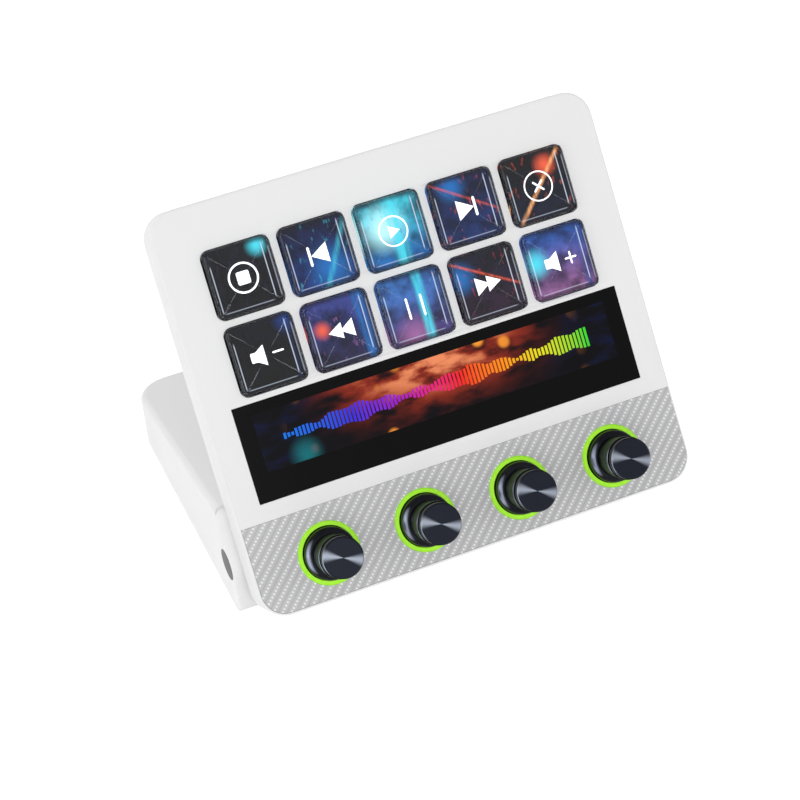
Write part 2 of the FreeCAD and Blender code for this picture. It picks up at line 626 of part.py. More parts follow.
def base_shell():
    """The wedge-shaped top shell of the base with its two hinge cheeks."""
    wedge = side_extrusion(base_profile(), BASE_WIDTH / 2)
    wedge = wedge.makeFillet(BASE_CORNER, rear_uprights(wedge, BASE_REAR))
    middle = (BASE_BOTTOM + BASE_REAR_HEIGHT - HINGE_HEIGHT) / 2
    crown = [e for e in wedge.Edges if e.BoundBox.ZMin > middle and e.BoundBox.YMax > slab_front() + BASE_WALL]
    wedge = wedge.makeFillet(BASE_EDGE, crown)
    toe_y, toe_z = base_profile()[0]
    toe = [e for e in wedge.Edges if runs_along(e, V(1, 0, 0)) and e.BoundBox.YMax < toe_y + BASE_WALL]
    wedge = wedge.makeFillet(CHEEK_TOE, [e for e in toe if e.BoundBox.ZMax < toe_z + BASE_WALL])
    outside = wedge.copy()
    notch = Part.makeBox(2 * NOTCH_HALF, HINGE_BACK + slab_front(), 2 * HINGE_BACK,
                         V(-NOTCH_HALF, -HINGE_BACK, -HINGE_BACK))
    wedge = wedge.cut([notch, base_cavity(0, BASE_BOTTOM - OVERRUN, BASE_WALL)])
    bosses = [disc(x, y, BASE_BOSS_R, BASE_BOTTOM + COVER_THICK, HINGE_BACK) for x, y in base_boss_places()]
    wedge = wedge.fuse([boss.common(outside) for boss in bosses]).removeSplitter()
    cuts = []
    for x, y in base_boss_places():
        top = BASE_BOTTOM + COVER_THICK + SCREW_BITE + SCREW_TIP_ROOM
        cuts.append(disc(x, y, SCREW_R + PUSH_FIT, BASE_BOTTOM, top))
    half = BASE_WIDTH / 2
    sink = HINGE_CAP_THICK
    cuts.append(cross_rod(PIN_R + PUSH_FIT, -half - OVERRUN, half + OVERRUN, 0, 0))
    cuts.append(cross_rod(HINGE_CAP_R + HINGE_CAP_FIT, -half - OVERRUN, -half + sink, 0, 0))
    cuts.append(cross_rod(HINGE_CAP_R + HINGE_CAP_FIT, half - sink, half + OVERRUN, 0, 0))
    return wedge.cut(cuts)


def foot_places():
    """How far behind the hinge axis the two rubber feet lie."""
    return [slab_front() + FOOT_FROM_END, BASE_REAR - FOOT_FROM_END]


def foot_block(y, low, high, grow):
    """One foot's outline between two levels."""
    return round_block(0, y, FOOT_LENGTH + 2 * grow, FOOT_WIDTH + 2 * grow, low, high,
                       FOOT_ROUND + grow)


def base_cover():
    """The bottom plate of the base, grooved for the feet and sunk for the screws."""
    plate = base_cavity(COVER_FIT, BASE_BOTTOM, BASE_WALL).common(
        block(0, 0, 2 * BASE_WIDTH, 2 * BASE_WIDTH, BASE_BOTTOM, BASE_BOTTOM + COVER_THICK))
    cuts = [foot_block(y, BASE_BOTTOM - OVERRUN, BASE_BOTTOM + FOOT_SINK, PUSH_FIT) for y in foot_places()]
    for x, y in base_boss_places():
        cuts.append(disc(x, y, SCREW_R + SCREW_FIT, BASE_BOTTOM - OVERRUN,
                         BASE_BOTTOM + COVER_THICK + OVERRUN))
        cuts.append(disc(x, y, SCREW_HEAD_R + SCREW_FIT, BASE_BOTTOM - OVERRUN,
                         BASE_BOTTOM + SCREW_HEAD_SINK + SCREW_HEAD_THICK))
    return plate.cut(cuts)


def base_screws():
    """Four screws that hold the bottom plate."""
    seat = BASE_BOTTOM + SCREW_HEAD_SINK
    screws = []
    for x, y in base_boss_places():
        head = disc(x, y, SCREW_HEAD_R, seat, seat + SCREW_HEAD_THICK)
        shank = disc(x, y, SCREW_R, seat, BASE_BOTTOM + COVER_THICK + SCREW_BITE)
        screws.append(head.fuse(shank).cut(disc(x, y, DRIVE_R, seat - OVERRUN, seat + DRIVE_DEPTH)))
    return Part.makeCompound(screws)


def ballast_plate():
    """The steel weight on the bottom plate."""
    low = BASE_BOTTOM + COVER_THICK
    middle = (slab_front() + BASE_REAR) / 2
    return round_block(0, middle, BALLAST_WIDTH, BALLAST_DEPTH, low, low + BALLAST_THICK,
                       BALLAST_ROUND)


def rubber_feet():
    """Two rubber strips under the base."""
    low = -HINGE_HEIGHT
    return Part.makeCompound([foot_block(y, low, BASE_BOTTOM + FOOT_SINK, 0) for y in foot_places()])


def hinge_pin(side):
    """The steel pin through one cheek into the head's barrel."""
    inner = BARREL_HALF - PIN_GRIP
    outer = BASE_WIDTH / 2 - HINGE_CAP_THICK
    start = inner if side > 0 else -outer
    return cross_rod(PIN_R, start, start + outer - inner, 0, 0)


def hinge_cap(side):
    """The dark round cap over one pin, flush with the base's side."""
    outer = BASE_WIDTH / 2
    start = outer - HINGE_CAP_THICK if side > 0 else -outer
    return cross_rod(HINGE_CAP_R, start, start + HINGE_CAP_THICK, 0, 0)


def hinge_washers():
    """The two friction washers between the barrel and the cheeks."""
    washers = []
    for start in (NOTCH_HALF - WASHER_THICK, -NOTCH_HALF):
        washer = cross_rod(WASHER_R, start, start + WASHER_THICK, 0, 0)
        washers.append(washer.cut(cross_rod(PIN_R + PUSH_FIT, start, start + WASHER_THICK, 0, 0)))
    return Part.makeCompound(washers)


def head_parts():
    """Every node of the head, drawn flat."""
    parts = {
        "front_cover": front_cover(),
        "rear_cover": rear_cover(),
        "head_screws": head_screws(),
        "knob_panel": knob_panel(),
        "strip_glass": strip_glass(),
        "key_mat": key_mat(),
        "lcd_panel": lcd_panel(),
        "lcd_tray": lcd_tray(),
        "lcd_flex": lcd_flex(),
        "main_board": main_board(),
        "board_chips": board_chips(),
        "usb_socket": usb_socket(),
        "encoder_board": encoder_board(),
        "ring_leds": ring_leds(),
        "board_ribbon": board_ribbon(),
    }
    for number, (x, y) in enumerate(key_places(), 1):
        parts[f"key_{number}"] = key(x, y)
    for number, (x, y) in enumerate(knob_places(), 1):
        parts[f"light_ring_{number}"] = light_ring(x, y)
        parts[f"encoder_{number}"] = encoder(x, y)
        parts[f"plunger_{number}"] = plunger(x, y)
        parts[f"shaft_{number}"] = shaft(x, y)
        parts[f"knob_{number}"] = knob(x, y)
    return parts


def base_parts():
    """Every node of the base, drawn about the hinge axis."""
    return {
        "base_shell": base_shell(),
        "base_cover": base_cover(),
        "base_screws": base_screws(),
        "ballast_plate": ballast_plate(),
        "rubber_feet": rubber_feet(),
        "hinge_pin_left": hinge_pin(-1),
        "hinge_pin_right": hinge_pin(1),
        "hinge_cap_left": hinge_cap(-1),
        "hinge_cap_right": hinge_cap(1),
        "hinge_washers": hinge_washers(),
    }


def hinge_depth():
    """Where the hinge axis lies along y, with the origin midway between knob tips and base back."""
    reach_up = KNOB_Y - CAP_R + CAP_BEVEL - HINGE_UP
    reach_out = CAP_TOP + HINGE_BACK
    front = reach_up * math.cos(TILT) - reach_out * math.sin(TILT)
    return -(front + BASE_REAR) / 2


def main():
    """Builds every node, sets it in place and writes its file."""
    axis = V(0, hinge_depth(), HINGE_HEIGHT)
    placed = {}
    for name, shape in head_parts().items():
        shape.translate(V(0, -HINGE_UP, HINGE_BACK))
        shape.rotate(V(0, 0, 0), V(1, 0, 0), FACE_TILT_DEG)
        shape.translate(axis)
        placed[name] = shape
    for name, shape in base_parts().items():
        shape.translate(axis)
        placed[name] = shape
    for name, shape in placed.items():
        shape.exportStep(f"parts/{name}.step")
    box = Part.makeCompound(list(placed.values())).BoundBox
    print("nodes", len(placed), "hinge axis y, z:", round(axis.y, 3), axis.z)
    print("box", [round(value, 2) for value in (box.XMin, box.XMax, box.YMin, box.YMax, box.ZMin, box.ZMax)])
    for name, shape in placed.items():
        state = "ok" if shape.isValid() and all(solid.isClosed() for solid in shape.Solids) else "BROKEN"
        print(name, len(shape.Solids), round(shape.Volume, 1), state)


main()
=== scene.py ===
import json
import logging
import math
from contextlib import contextmanager
from dataclasses import dataclass, field
from enum import Enum
from typing import Any, Callable, Iterator, Optional, Sequence

import bmesh
import bpy
from mathutils import Matrix, Vector

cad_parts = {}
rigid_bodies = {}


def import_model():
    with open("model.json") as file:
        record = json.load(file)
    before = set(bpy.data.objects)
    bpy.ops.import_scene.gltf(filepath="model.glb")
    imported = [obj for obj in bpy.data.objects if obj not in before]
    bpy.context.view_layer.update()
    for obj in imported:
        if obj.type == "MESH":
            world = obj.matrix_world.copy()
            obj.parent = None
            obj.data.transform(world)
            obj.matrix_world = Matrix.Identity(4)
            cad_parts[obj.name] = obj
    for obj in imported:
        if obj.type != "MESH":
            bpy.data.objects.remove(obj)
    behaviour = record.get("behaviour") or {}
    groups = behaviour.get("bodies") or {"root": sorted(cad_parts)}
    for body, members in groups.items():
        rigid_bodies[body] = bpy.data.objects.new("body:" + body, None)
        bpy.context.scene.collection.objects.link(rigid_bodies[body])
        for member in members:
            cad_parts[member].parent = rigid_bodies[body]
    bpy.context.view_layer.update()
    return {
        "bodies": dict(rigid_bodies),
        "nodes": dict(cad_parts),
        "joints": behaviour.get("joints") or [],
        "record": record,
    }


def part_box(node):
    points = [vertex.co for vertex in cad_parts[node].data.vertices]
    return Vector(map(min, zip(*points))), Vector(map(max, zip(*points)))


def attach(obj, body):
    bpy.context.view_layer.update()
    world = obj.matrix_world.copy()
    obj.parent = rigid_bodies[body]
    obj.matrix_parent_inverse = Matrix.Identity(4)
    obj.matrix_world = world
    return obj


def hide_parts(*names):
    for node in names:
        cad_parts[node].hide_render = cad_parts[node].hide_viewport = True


LOG = logging.getLogger("keypad")
MM = 0.001
Colour = tuple[float, float, float, float]
Socket = bpy.types.NodeSocket
Thing = bpy.types.Object
Finish = bpy.types.Material
Span = tuple[float, float]
HAIR = 0.001
CORNER_STEPS = 7
RING_SIDES = 72
BLACK: Colour = (0.0, 0.0, 0.0, 1.0)
WHITE: Colour = (1.0, 1.0, 1.0, 1.0)


def srgb(red: int, green: int, blue: int) -> Colour:
    """Turns a colour as seen on a screen into the shader's own scale.

    Args:
        red: Red from 0 to 255.
        green: Green from 0 to 255.
        blue: Blue from 0 to 255.

    Returns:
        The linear colour with full alpha.
    """
    def linear(value: int) -> float:
        """Returns one channel on the linear scale."""
        share = value / 255
        return share / 12.92 if share <= 0.04045 else ((share + 0.055) / 1.055) ** 2.4

    return (linear(red), linear(green), linear(blue), 1.0)


class Symbol(Enum):
    """The plain control sign on a key."""

    STOP = "stop"
    PREVIOUS = "previous"
    PLAY = "play"
    NEXT = "next"
    CROSS = "cross"
    QUIETER = "quieter"
    REWIND = "rewind"
    PAUSE = "pause"
    FORWARD = "forward"
    LOUDER = "louder"


@dataclass(frozen=True)
class Face:
    """The head's flat coordinates: x right, y up the face from its bottom edge, z out of it."""

    origin: Vector
    tilt: float

    @classmethod
    def from_frame(cls, frame: dict[str, Any]) -> "Face":
        """Reads the face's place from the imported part.


        Returns:
            The face with its origin at the middle of its bottom edge.
        """
        turn = next(joint for joint in frame["joints"] if joint["name"] == "knob_turn_1")
        tilt = math.atan2(-turn["axis"][1], turn["axis"][2])
        up = Vector((0, math.cos(tilt), math.sin(tilt)))
        out = Vector((0, -math.sin(tilt), math.cos(tilt)))
        corners = [vertex.co for vertex in frame["nodes"]["front_cover"].data.vertices]
        low = min(corner.dot(up) for corner in corners)
        top = max(corner.dot(out) for corner in corners)
        return cls(up * low + out * top, tilt)

    def matrix(self) -> Matrix:
        """Returns the move from flat coordinates to the part's own frame."""
        return Matrix.Translation(self.origin) @ Matrix.Rotation(self.tilt, 4, "X")

    def flat(self, point: Sequence[float]) -> Vector:
        """Returns a point of the part's frame in flat coordinates."""
        return self.matrix().inverted() @ Vector(point)

    def centre(self, thing: Thing) -> Vector:
        """Finds the middle of an object's outline as seen straight onto the face.

        Args:
            thing: The object, with its place in its mesh.

        Returns:
            The middle in flat coordinates, at the face's own level.
        """
        spots = [self.flat(vertex.co) for vertex in thing.data.vertices]
        across, upright = ([spot[axis] for spot in spots] for axis in (0, 1))
        return Vector(((min(across) + max(across)) / 2, (min(upright) + max(upright)) / 2, 0))


class Graph:
    """A node tree that is built one line at a time."""

    def __init__(self, tree: bpy.types.NodeTree) -> None:
        """Starts on a tree."""
        self.tree = tree

    def node(self, kind: str, **settings: Any) -> bpy.types.Node:
        """Adds a node and sets its properties.

        Args:
            kind: The node's type name.
            **settings: Properties to set on it.

        Returns:
            The new node.
        """
        made = self.tree.nodes.new(kind)
        for name, value in settings.items():
            setattr(made, name, value)
        return made

    def feed(self, socket: Socket, value: Any) -> None:
        """Links a socket to another, or sets its plain value.

        Args:
            socket: The input that is fed.
            value: Another socket, or a plain value.
        """
        if isinstance(value, Socket):
            self.tree.links.new(value, socket)
        else:
            socket.default_value = value

    def fill(self, node: bpy.types.Node, **values: Any) -> bpy.types.Node:
        """Feeds a node's inputs by name.

        Args:
            node: The node.
            **values: What each input gets, with the spaces in its name written as underscores.

        Returns:
            The same node.
        """
        for name, value in values.items():
            self.feed(node.inputs[name.replace("_", " ")], value)
        return node

    def order(self, node: bpy.types.Node, *values: Any) -> bpy.types.Node:
        """Feeds a node's inputs in their order.

        Args:
            node: The node.
            *values: What each input gets, from the first one on.

        Returns:
            The same node.
        """
        for socket, value in zip(node.inputs, values):
            self.feed(socket, value)
        return node

    def math(self, operation: str, first: Any, second: Any = 0.0, third: Any = 0.0) -> Socket:
        """Returns the result of a sum."""
        return self.order(self.node("ShaderNodeMath", operation=operation), first, second, third).outputs[0]

    def vector(self, operation: str, first: Any, second: Any = (0.0, 0.0, 0.0)) -> bpy.types.Node:
        """Returns the node of a vector sum."""
        return self.order(self.node("ShaderNodeVectorMath", operation=operation), first, second)

    def product(self, first: Any, *others: Any) -> Socket:
        """Multiplies values one after another.

        Args:
            first: The first value or socket.
            *others: The rest.

        Returns:
            The product.
        """
        for other in others:
            first = self.math("MULTIPLY", first, other)
        return first

    def gap(self, value: Any, place: Any) -> Socket:
        """Returns how far a value is from a place."""
        return self.math("ABSOLUTE", self.math("SUBTRACT", value, place))

    def off_middle(self, value: Any) -> Socket:
        """Returns how far a value is from the middle of its own step of one."""
        return self.gap(self.math("FRACT", value), 0.5)

    def blend(self, factor: Any, first: Any, second: Any, mode: str = "MIX") -> Socket:
        """Mixes two colours.

        Args:
            factor: The second colour's share.
            first: The first colour.
            second: The second colour.
            mode: How they are mixed.

        Returns:
            The mixed colour.
        """
        made = self.node("ShaderNodeMix", data_type="RGBA", blend_type=mode)
        for index, value in ((0, factor), (6, first), (7, second)):
            self.feed(made.inputs[index], value)
        return made.outputs[2]

    def fade(self, value: Any, start: float, end: float) -> Socket:
        """Returns a value mapped smoothly to 0 at start and 1 at end."""
        made = self.node("ShaderNodeMapRange", interpolation_type="SMOOTHSTEP")
        return self.fill(made, Value=value, From_Min=start, From_Max=end).outputs["Result"]

    def noise(self, place: Any, scale: Any, detail: float = 2.0) -> Socket:
        """Returns the value of a cloudy noise."""
        made = self.node("ShaderNodeTexNoise")
        return self.fill(made, Vector=place, Scale=scale, Detail=detail).outputs[0]

    def split(self, vector: Any) -> Sequence[Socket]:
        """Returns a vector's three parts."""
        return self.order(self.node("ShaderNodeSeparateXYZ"), vector).outputs

    def join(self, first: Any, second: Any, third: Any = 0.0) -> Socket:
        """Returns a vector made of three parts."""
        return self.order(self.node("ShaderNodeCombineXYZ"), first, second, third).outputs[0]

    def place(self, face: Optional[Face] = None, centre: Sequence[float] = (0, 0, 0),
              unit: float = MM) -> Socket:
        """Places a pattern by object coordinates, in the part's frame or flat on the face.

        Args:
            face: The face to lie on, or None for the part's own frame.
            centre: The pattern's middle in the chosen coordinates, in metres.
            unit: The length of one step of the pattern, in metres.

        Returns:
            The coordinates.
        """
        middle = face.matrix() @ Vector(centre) if face else Vector(centre)
        mapping = self.node("ShaderNodeMapping", vector_type="TEXTURE")
        source = self.node("ShaderNodeTexCoord").outputs["Object"]
        self.fill(mapping, Vector=source, Location=middle, Rotation=(face.tilt if face else 0.0, 0, 0),
                  Scale=(unit, unit, unit))
        return mapping.outputs[0]

    def group(self, tree: bpy.types.NodeTree, **values: Any) -> bpy.types.Node:
        """Returns the node of a shared effect with its own values."""
        return self.fill(self.node("ShaderNodeGroup", node_tree=tree), **values)

    def bump(self, height: Any, distance: float, strength: float = 1.0) -> Socket:
        """Returns a normal that is raised by a height."""
        made = self.node("ShaderNodeBump")
        return self.fill(made, Height=height, Distance=distance, Strength=strength).outputs[0]

    def seen(self) -> Socket:
        """Finds the rays that show a surface to the camera, also in a reflection or through clear plastic.

        Returns:
            One on such rays and zero on others.
        """
        path = self.node("ShaderNodeLightPath").outputs
        straight = self.math("MAXIMUM", path["Is Camera Ray"], path["Is Glossy Ray"])
        return self.math("MAXIMUM", straight, path["Is Transmission Ray"])


def new_group(name: str, inputs: dict[str, float],
              outputs: Sequence[str]) -> tuple[Graph, bpy.types.Node, bpy.types.Node]:
    """Starts a shared effect with number inputs and outputs.

    Args:
        name: The group's name.
        inputs: Each input's name and first value.
        outputs: The outputs' names.

    Returns:
        The group's graph, its input node and its output node.
    """
    tree = bpy.data.node_groups.new(name, "ShaderNodeTree")
    for label, value in inputs.items():
        socket = tree.interface.new_socket(label, in_out="INPUT", socket_type="NodeSocketFloat")
        socket.default_value = value
    for label in outputs:
        tree.interface.new_socket(label, in_out="OUTPUT", socket_type="NodeSocketFloat")
    graph = Graph(tree)
    return graph, graph.node("NodeGroupInput"), graph.node("NodeGroupOutput")


def moulded_grain() -> bpy.types.NodeTree:
    """Builds the fine spark-eroded grain and slow mottle of moulded and anodised surfaces.

    Returns:
        The group, with Height for a bump and Mottle for colour or roughness.
    """
    graph, given, result = new_group("moulded_grain", {"Grain": 4.0, "Mottle Size": 0.05},
                                     ("Height", "Mottle"))
    place = graph.place()
    graph.fill(result, Height=graph.noise(place, given.outputs["Grain"], detail=3.0),
               Mottle=graph.noise(place, given.outputs["Mottle Size"]))
    return graph.tree


def handling_wear() -> bpy.types.NodeTree:
    """Builds the faint rubbed patches that change how a handled surface shines.

    Returns:
        The group, with Rubbed from 0 to 1.
    """
    graph, given, result = new_group("handling_wear", {"Patch Size": 0.08}, ("Rubbed",))
    cloud = graph.noise(graph.place(), given.outputs["Patch Size"], detail=4.0)
    graph.fill(result, Rubbed=graph.fade(cloud, 0.42, 0.68))
    return graph.tree


@dataclass
class Effects:
    """The shared shader effects, each built once."""

    grain: bpy.types.NodeTree = field(default_factory=moulded_grain)
    wear: bpy.types.NodeTree = field(default_factory=handling_wear)


def new_material(name: str) -> tuple[Finish, Graph, bpy.types.Node]:
    """Starts a material with one Principled shader.

    Args:
        name: The material's name.

    Returns:
        The material, its graph and the shader's node.
    """
    material = bpy.data.materials.new(name)
    material.use_nodes = True
    return material, Graph(material.node_tree), material.node_tree.nodes["Principled BSDF"]


@dataclass(frozen=True)
class Moulding:
    """A plain plastic, rubber, metal or coated finish with grain and slow colour change."""

    name: str
    colour: Colour
    roughness: float
    mottle: float = 0.03
    mottle_size: float = 0.06
    grain: float = 5.0
    bump_mm: float = 0.012
    metallic: float = 0.0
    specular: float = 0.5
    coat: float = 0.0
    coat_roughness: float = 0.05
    wear: float = 0.05
    wear_size: float = 0.09
    glow: float = 0.0

    def build(self, effects: Effects) -> Finish:
        """Builds the material.

        Args:
            effects: The shared effects.

        Returns:
            The finished material.
        """
        material, graph, shader = new_material(self.name)
        grain = graph.group(effects.grain, Grain=self.grain, Mottle_Size=self.mottle_size)
        worn = graph.group(effects.wear, Patch_Size=self.wear_size).outputs["Rubbed"]
        darker = tuple(channel * (1 - 2 * self.mottle) for channel in self.colour[:3]) + (1.0,)
        graph.fill(shader, Base_Color=graph.blend(grain.outputs["Mottle"], darker, self.colour),
                   Roughness=graph.math("MULTIPLY_ADD", worn, -self.wear, self.roughness),
                   Metallic=self.metallic, Specular_IOR_Level=self.specular,
                   Coat_Weight=self.coat, Coat_Roughness=self.coat_roughness,
                   Emission_Color=WHITE, Emission_Strength=self.glow,
                   Normal=graph.bump(grain.outputs["Height"], self.bump_mm * MM))
        return material


@dataclass(frozen=True)
class WovenTrim:
    """The silver twill weave under clear lacquer on the knob panel, with its sizes in millimetres."""

    name: str = "woven_trim"
    row_pitch: float = 2.3
    stitch_pitch: float = 1.05
    row_lag_share: float = 0.37
    fibre_length_rate: float = 0.7
    fibre_width_rate: float = 7.0
    fibre_rate: float = 1.6
    fibre_share: float = 0.35
    row_edge: Span = (0.46, 0.22)
    stitch_edge: Span = (0.36, 0.16)
    stitch_height: float = 0.8
    fibre_height: float = 0.4
    relief: float = 0.05
    roughness: float = 0.38
    wear: float = 0.05
    wear_size: float = 0.1
    lacquer: float = 0.35
    lacquer_roughness: float = 0.12
    # The second colour paints shade in the gaps between rows and also tints the fibres; the third paints the
    # highlights on the stitches
    ground: Colour = srgb(198, 198, 199)
    shade_and_fibre_tone: Colour = srgb(180, 180, 182)
    stitch_and_highlight: Colour = srgb(243, 243, 243)

    def build(self, face: Face, effects: Effects) -> Finish:
        """Builds the weave as diagonal rows of short stitches, painted bright as highlights on the fibre
        tows, with painted shade in the gaps between rows.

        Args:
            face: The head's flat coordinates.
            effects: The shared effects.

        Returns:
            The finished material.
        """
        material, graph, shader = new_material(self.name)
        x, y, _ = graph.split(graph.place(face))
        along = graph.product(graph.math("ADD", x, y), math.sqrt(0.5))
        across = graph.product(graph.math("SUBTRACT", y, x), math.sqrt(0.5))
        row = graph.math("DIVIDE", across, self.row_pitch)
        step = graph.math("DIVIDE", along, self.stitch_pitch)
        lag = graph.product(graph.math("FLOOR", row), self.row_lag_share)
        off_row = graph.off_middle(row)
        off_stitch = graph.join(graph.product(off_row, 2.0), graph.off_middle(graph.math("ADD", step, lag)))
        # The stitch mask raises the stitches and places their painted highlight
        stitch_and_highlight = graph.fade(graph.vector("LENGTH", off_stitch).outputs["Value"], *self.stitch_edge)
        fibre_place = graph.join(graph.product(along, self.fibre_length_rate),
                                 graph.product(across, self.fibre_width_rate))
        fibres = graph.noise(fibre_place, self.fibre_rate)
        # Painted shade along the gaps between rows, then a fibre tone in the same colour
        ground = graph.blend(graph.fade(off_row, *self.row_edge), self.shade_and_fibre_tone, self.ground)
        ground = graph.blend(graph.product(fibres, self.fibre_share), ground, self.shade_and_fibre_tone)
        height = graph.math("ADD", graph.product(stitch_and_highlight, self.stitch_height),
                            graph.product(fibres, self.fibre_height))
        worn = graph.group(effects.wear, Patch_Size=self.wear_size).outputs["Rubbed"]
        graph.fill(shader, Base_Color=graph.blend(stitch_and_highlight, ground, self.stitch_and_highlight),
                   Roughness=graph.math("MULTIPLY_ADD", worn, -self.wear, self.roughness),
                   Coat_Weight=self.lacquer, Coat_Roughness=self.lacquer_roughness,
                   Normal=graph.bump(height, self.relief * MM, strength=0.5))
        return material


@dataclass(frozen=True)
class LitRing:
    """The lime glow of the translucent rings."""

    name: str = "lit_ring"
    glow: Colour = srgb(150, 226, 40)
    bright: Colour = srgb(172, 240, 66)
    cloud_rate: float = 0.35
    strength: float = 0.3
    roughness: float = 0.45
    specular: float = 0.2

    def build(self, face: Face) -> Finish:
        """Builds the glow, a little uneven as light is behind a translucent ring.

        Args:
            face: The head's flat coordinates.

        Returns:
            The finished material.
        """
        material, graph, shader = new_material(self.name)
        cloud = graph.noise(graph.place(face), self.cloud_rate, detail=1.0)
        colour = graph.blend(cloud, self.glow, self.bright)
        graph.fill(shader, Base_Color=colour, Emission_Color=colour, Emission_Strength=self.strength,
                   Roughness=self.roughness, Specular_IOR_Level=self.specular)
        return material


@dataclass(frozen=True)
class SpunMetal:
    """The black anodised knob, with a painted highlight in its colour that keeps its place in the room while
    the knob turns.
    """

    name: str
    dark: Colour
    pale: Colour
    roughness: float
    spun: bool = False
    # lit_from, wedge_turn and the wedge and glint edges place a painted highlight in the base colour, fixed
    # to the room
    lit_from: tuple[float, float, float] = (-0.72, 0.1, 0.69)
    wedge_turn: float = math.radians(-24)
    wedge_edge: Span = (0.40, 0.02)
    glint_edge: Span = (0.84, 0.985)
    grain: float = 7.0
    mottle_size: float = 0.3
    mark_rate: float = 26.0
    mark_scale: float = 3.0
    mark_height: float = 0.004
    streak_edge: Span = (0.25, 0.75)
    streak_depth: float = 0.35
    wear: float = 0.04
    wear_size: float = 0.4

    def painted_highlight(self, graph: Graph, face: Face) -> Socket:
        """Finds where the painted highlight goes: two wedges on the spun face, a glint on sides that face a
        fixed lamp direction.

        Args:
            graph: The material's graph.
            face: The head's flat coordinates.

        Returns:
            The painted highlight from 0 to 1.
        """
        turned = face.matrix().to_3x3()
        if self.spun:
            along = turned @ Vector((math.cos(self.wedge_turn), math.sin(self.wedge_turn), 0))
            tangent = graph.node("ShaderNodeTangent", direction_type="UV_MAP", uv_map="turning").outputs[0]
            off = graph.vector("DOT_PRODUCT", tangent, tuple(along)).outputs["Value"]
            return graph.fade(graph.math("ABSOLUTE", off), *self.wedge_edge)
        lamp = turned @ Vector(self.lit_from).normalized()
        normal = graph.node("ShaderNodeNewGeometry").outputs["Normal"]
        return graph.fade(graph.vector("DOT_PRODUCT", normal, tuple(lamp)).outputs["Value"], *self.glint_edge)

    def build(self, face: Face, effects: Effects) -> Finish:
        """Builds the metal with fine turning marks.

        Args:
            face: The head's flat coordinates.
            effects: The shared effects.

        Returns:
            The finished material.
        """
        material, graph, shader = new_material(self.name)
        # Painted highlight: the pale colour is mixed into the base colour where the mask falls
        colour = graph.blend(self.painted_highlight(graph, face), self.dark, self.pale)
        grain = graph.group(effects.grain, Grain=self.grain, Mottle_Size=self.mottle_size)
        out = graph.split(graph.node("ShaderNodeUVMap", uv_map="turning").outputs[0])[1]
        marks = graph.noise(graph.join(graph.product(out, self.mark_rate), 0.0), self.mark_scale, detail=3.0)
        streaks = marks if self.spun else grain.outputs["Mottle"]
        worn = graph.group(effects.wear, Patch_Size=self.wear_size).outputs["Rubbed"]
        dimmed = graph.blend(self.streak_depth, colour, BLACK)
        graph.fill(shader, Base_Color=graph.blend(graph.fade(streaks, *self.streak_edge), dimmed, colour),
                   Metallic=1.0, Roughness=graph.math("MULTIPLY_ADD", worn, -self.wear, self.roughness),
                   Normal=graph.bump(marks if self.spun else grain.outputs["Height"],
                                     self.mark_height * MM, strength=0.5))
        return material


@dataclass(frozen=True)
class PaintedEdgeLight:
    """A thin highlight painted into a key's picture where a cap's inner edge catches light, in shares of half
    the key.
    """

    across: float
    upright: bool
    start: float
    end: float
    strength: float


# Painted highlights in the key pictures, standing for light caught by the caps' inner edges
PAINTED_EDGE_LIGHTS = (
    PaintedEdgeLight(-0.84, True, -0.84, 0.55, 0.6),
    PaintedEdgeLight(0.76, True, -0.76, 0.84, 0.7),
    PaintedEdgeLight(0.93, True, -0.8, 0.7, 0.35),
    PaintedEdgeLight(-0.85, False, -0.8, 0.7, 0.35),
)


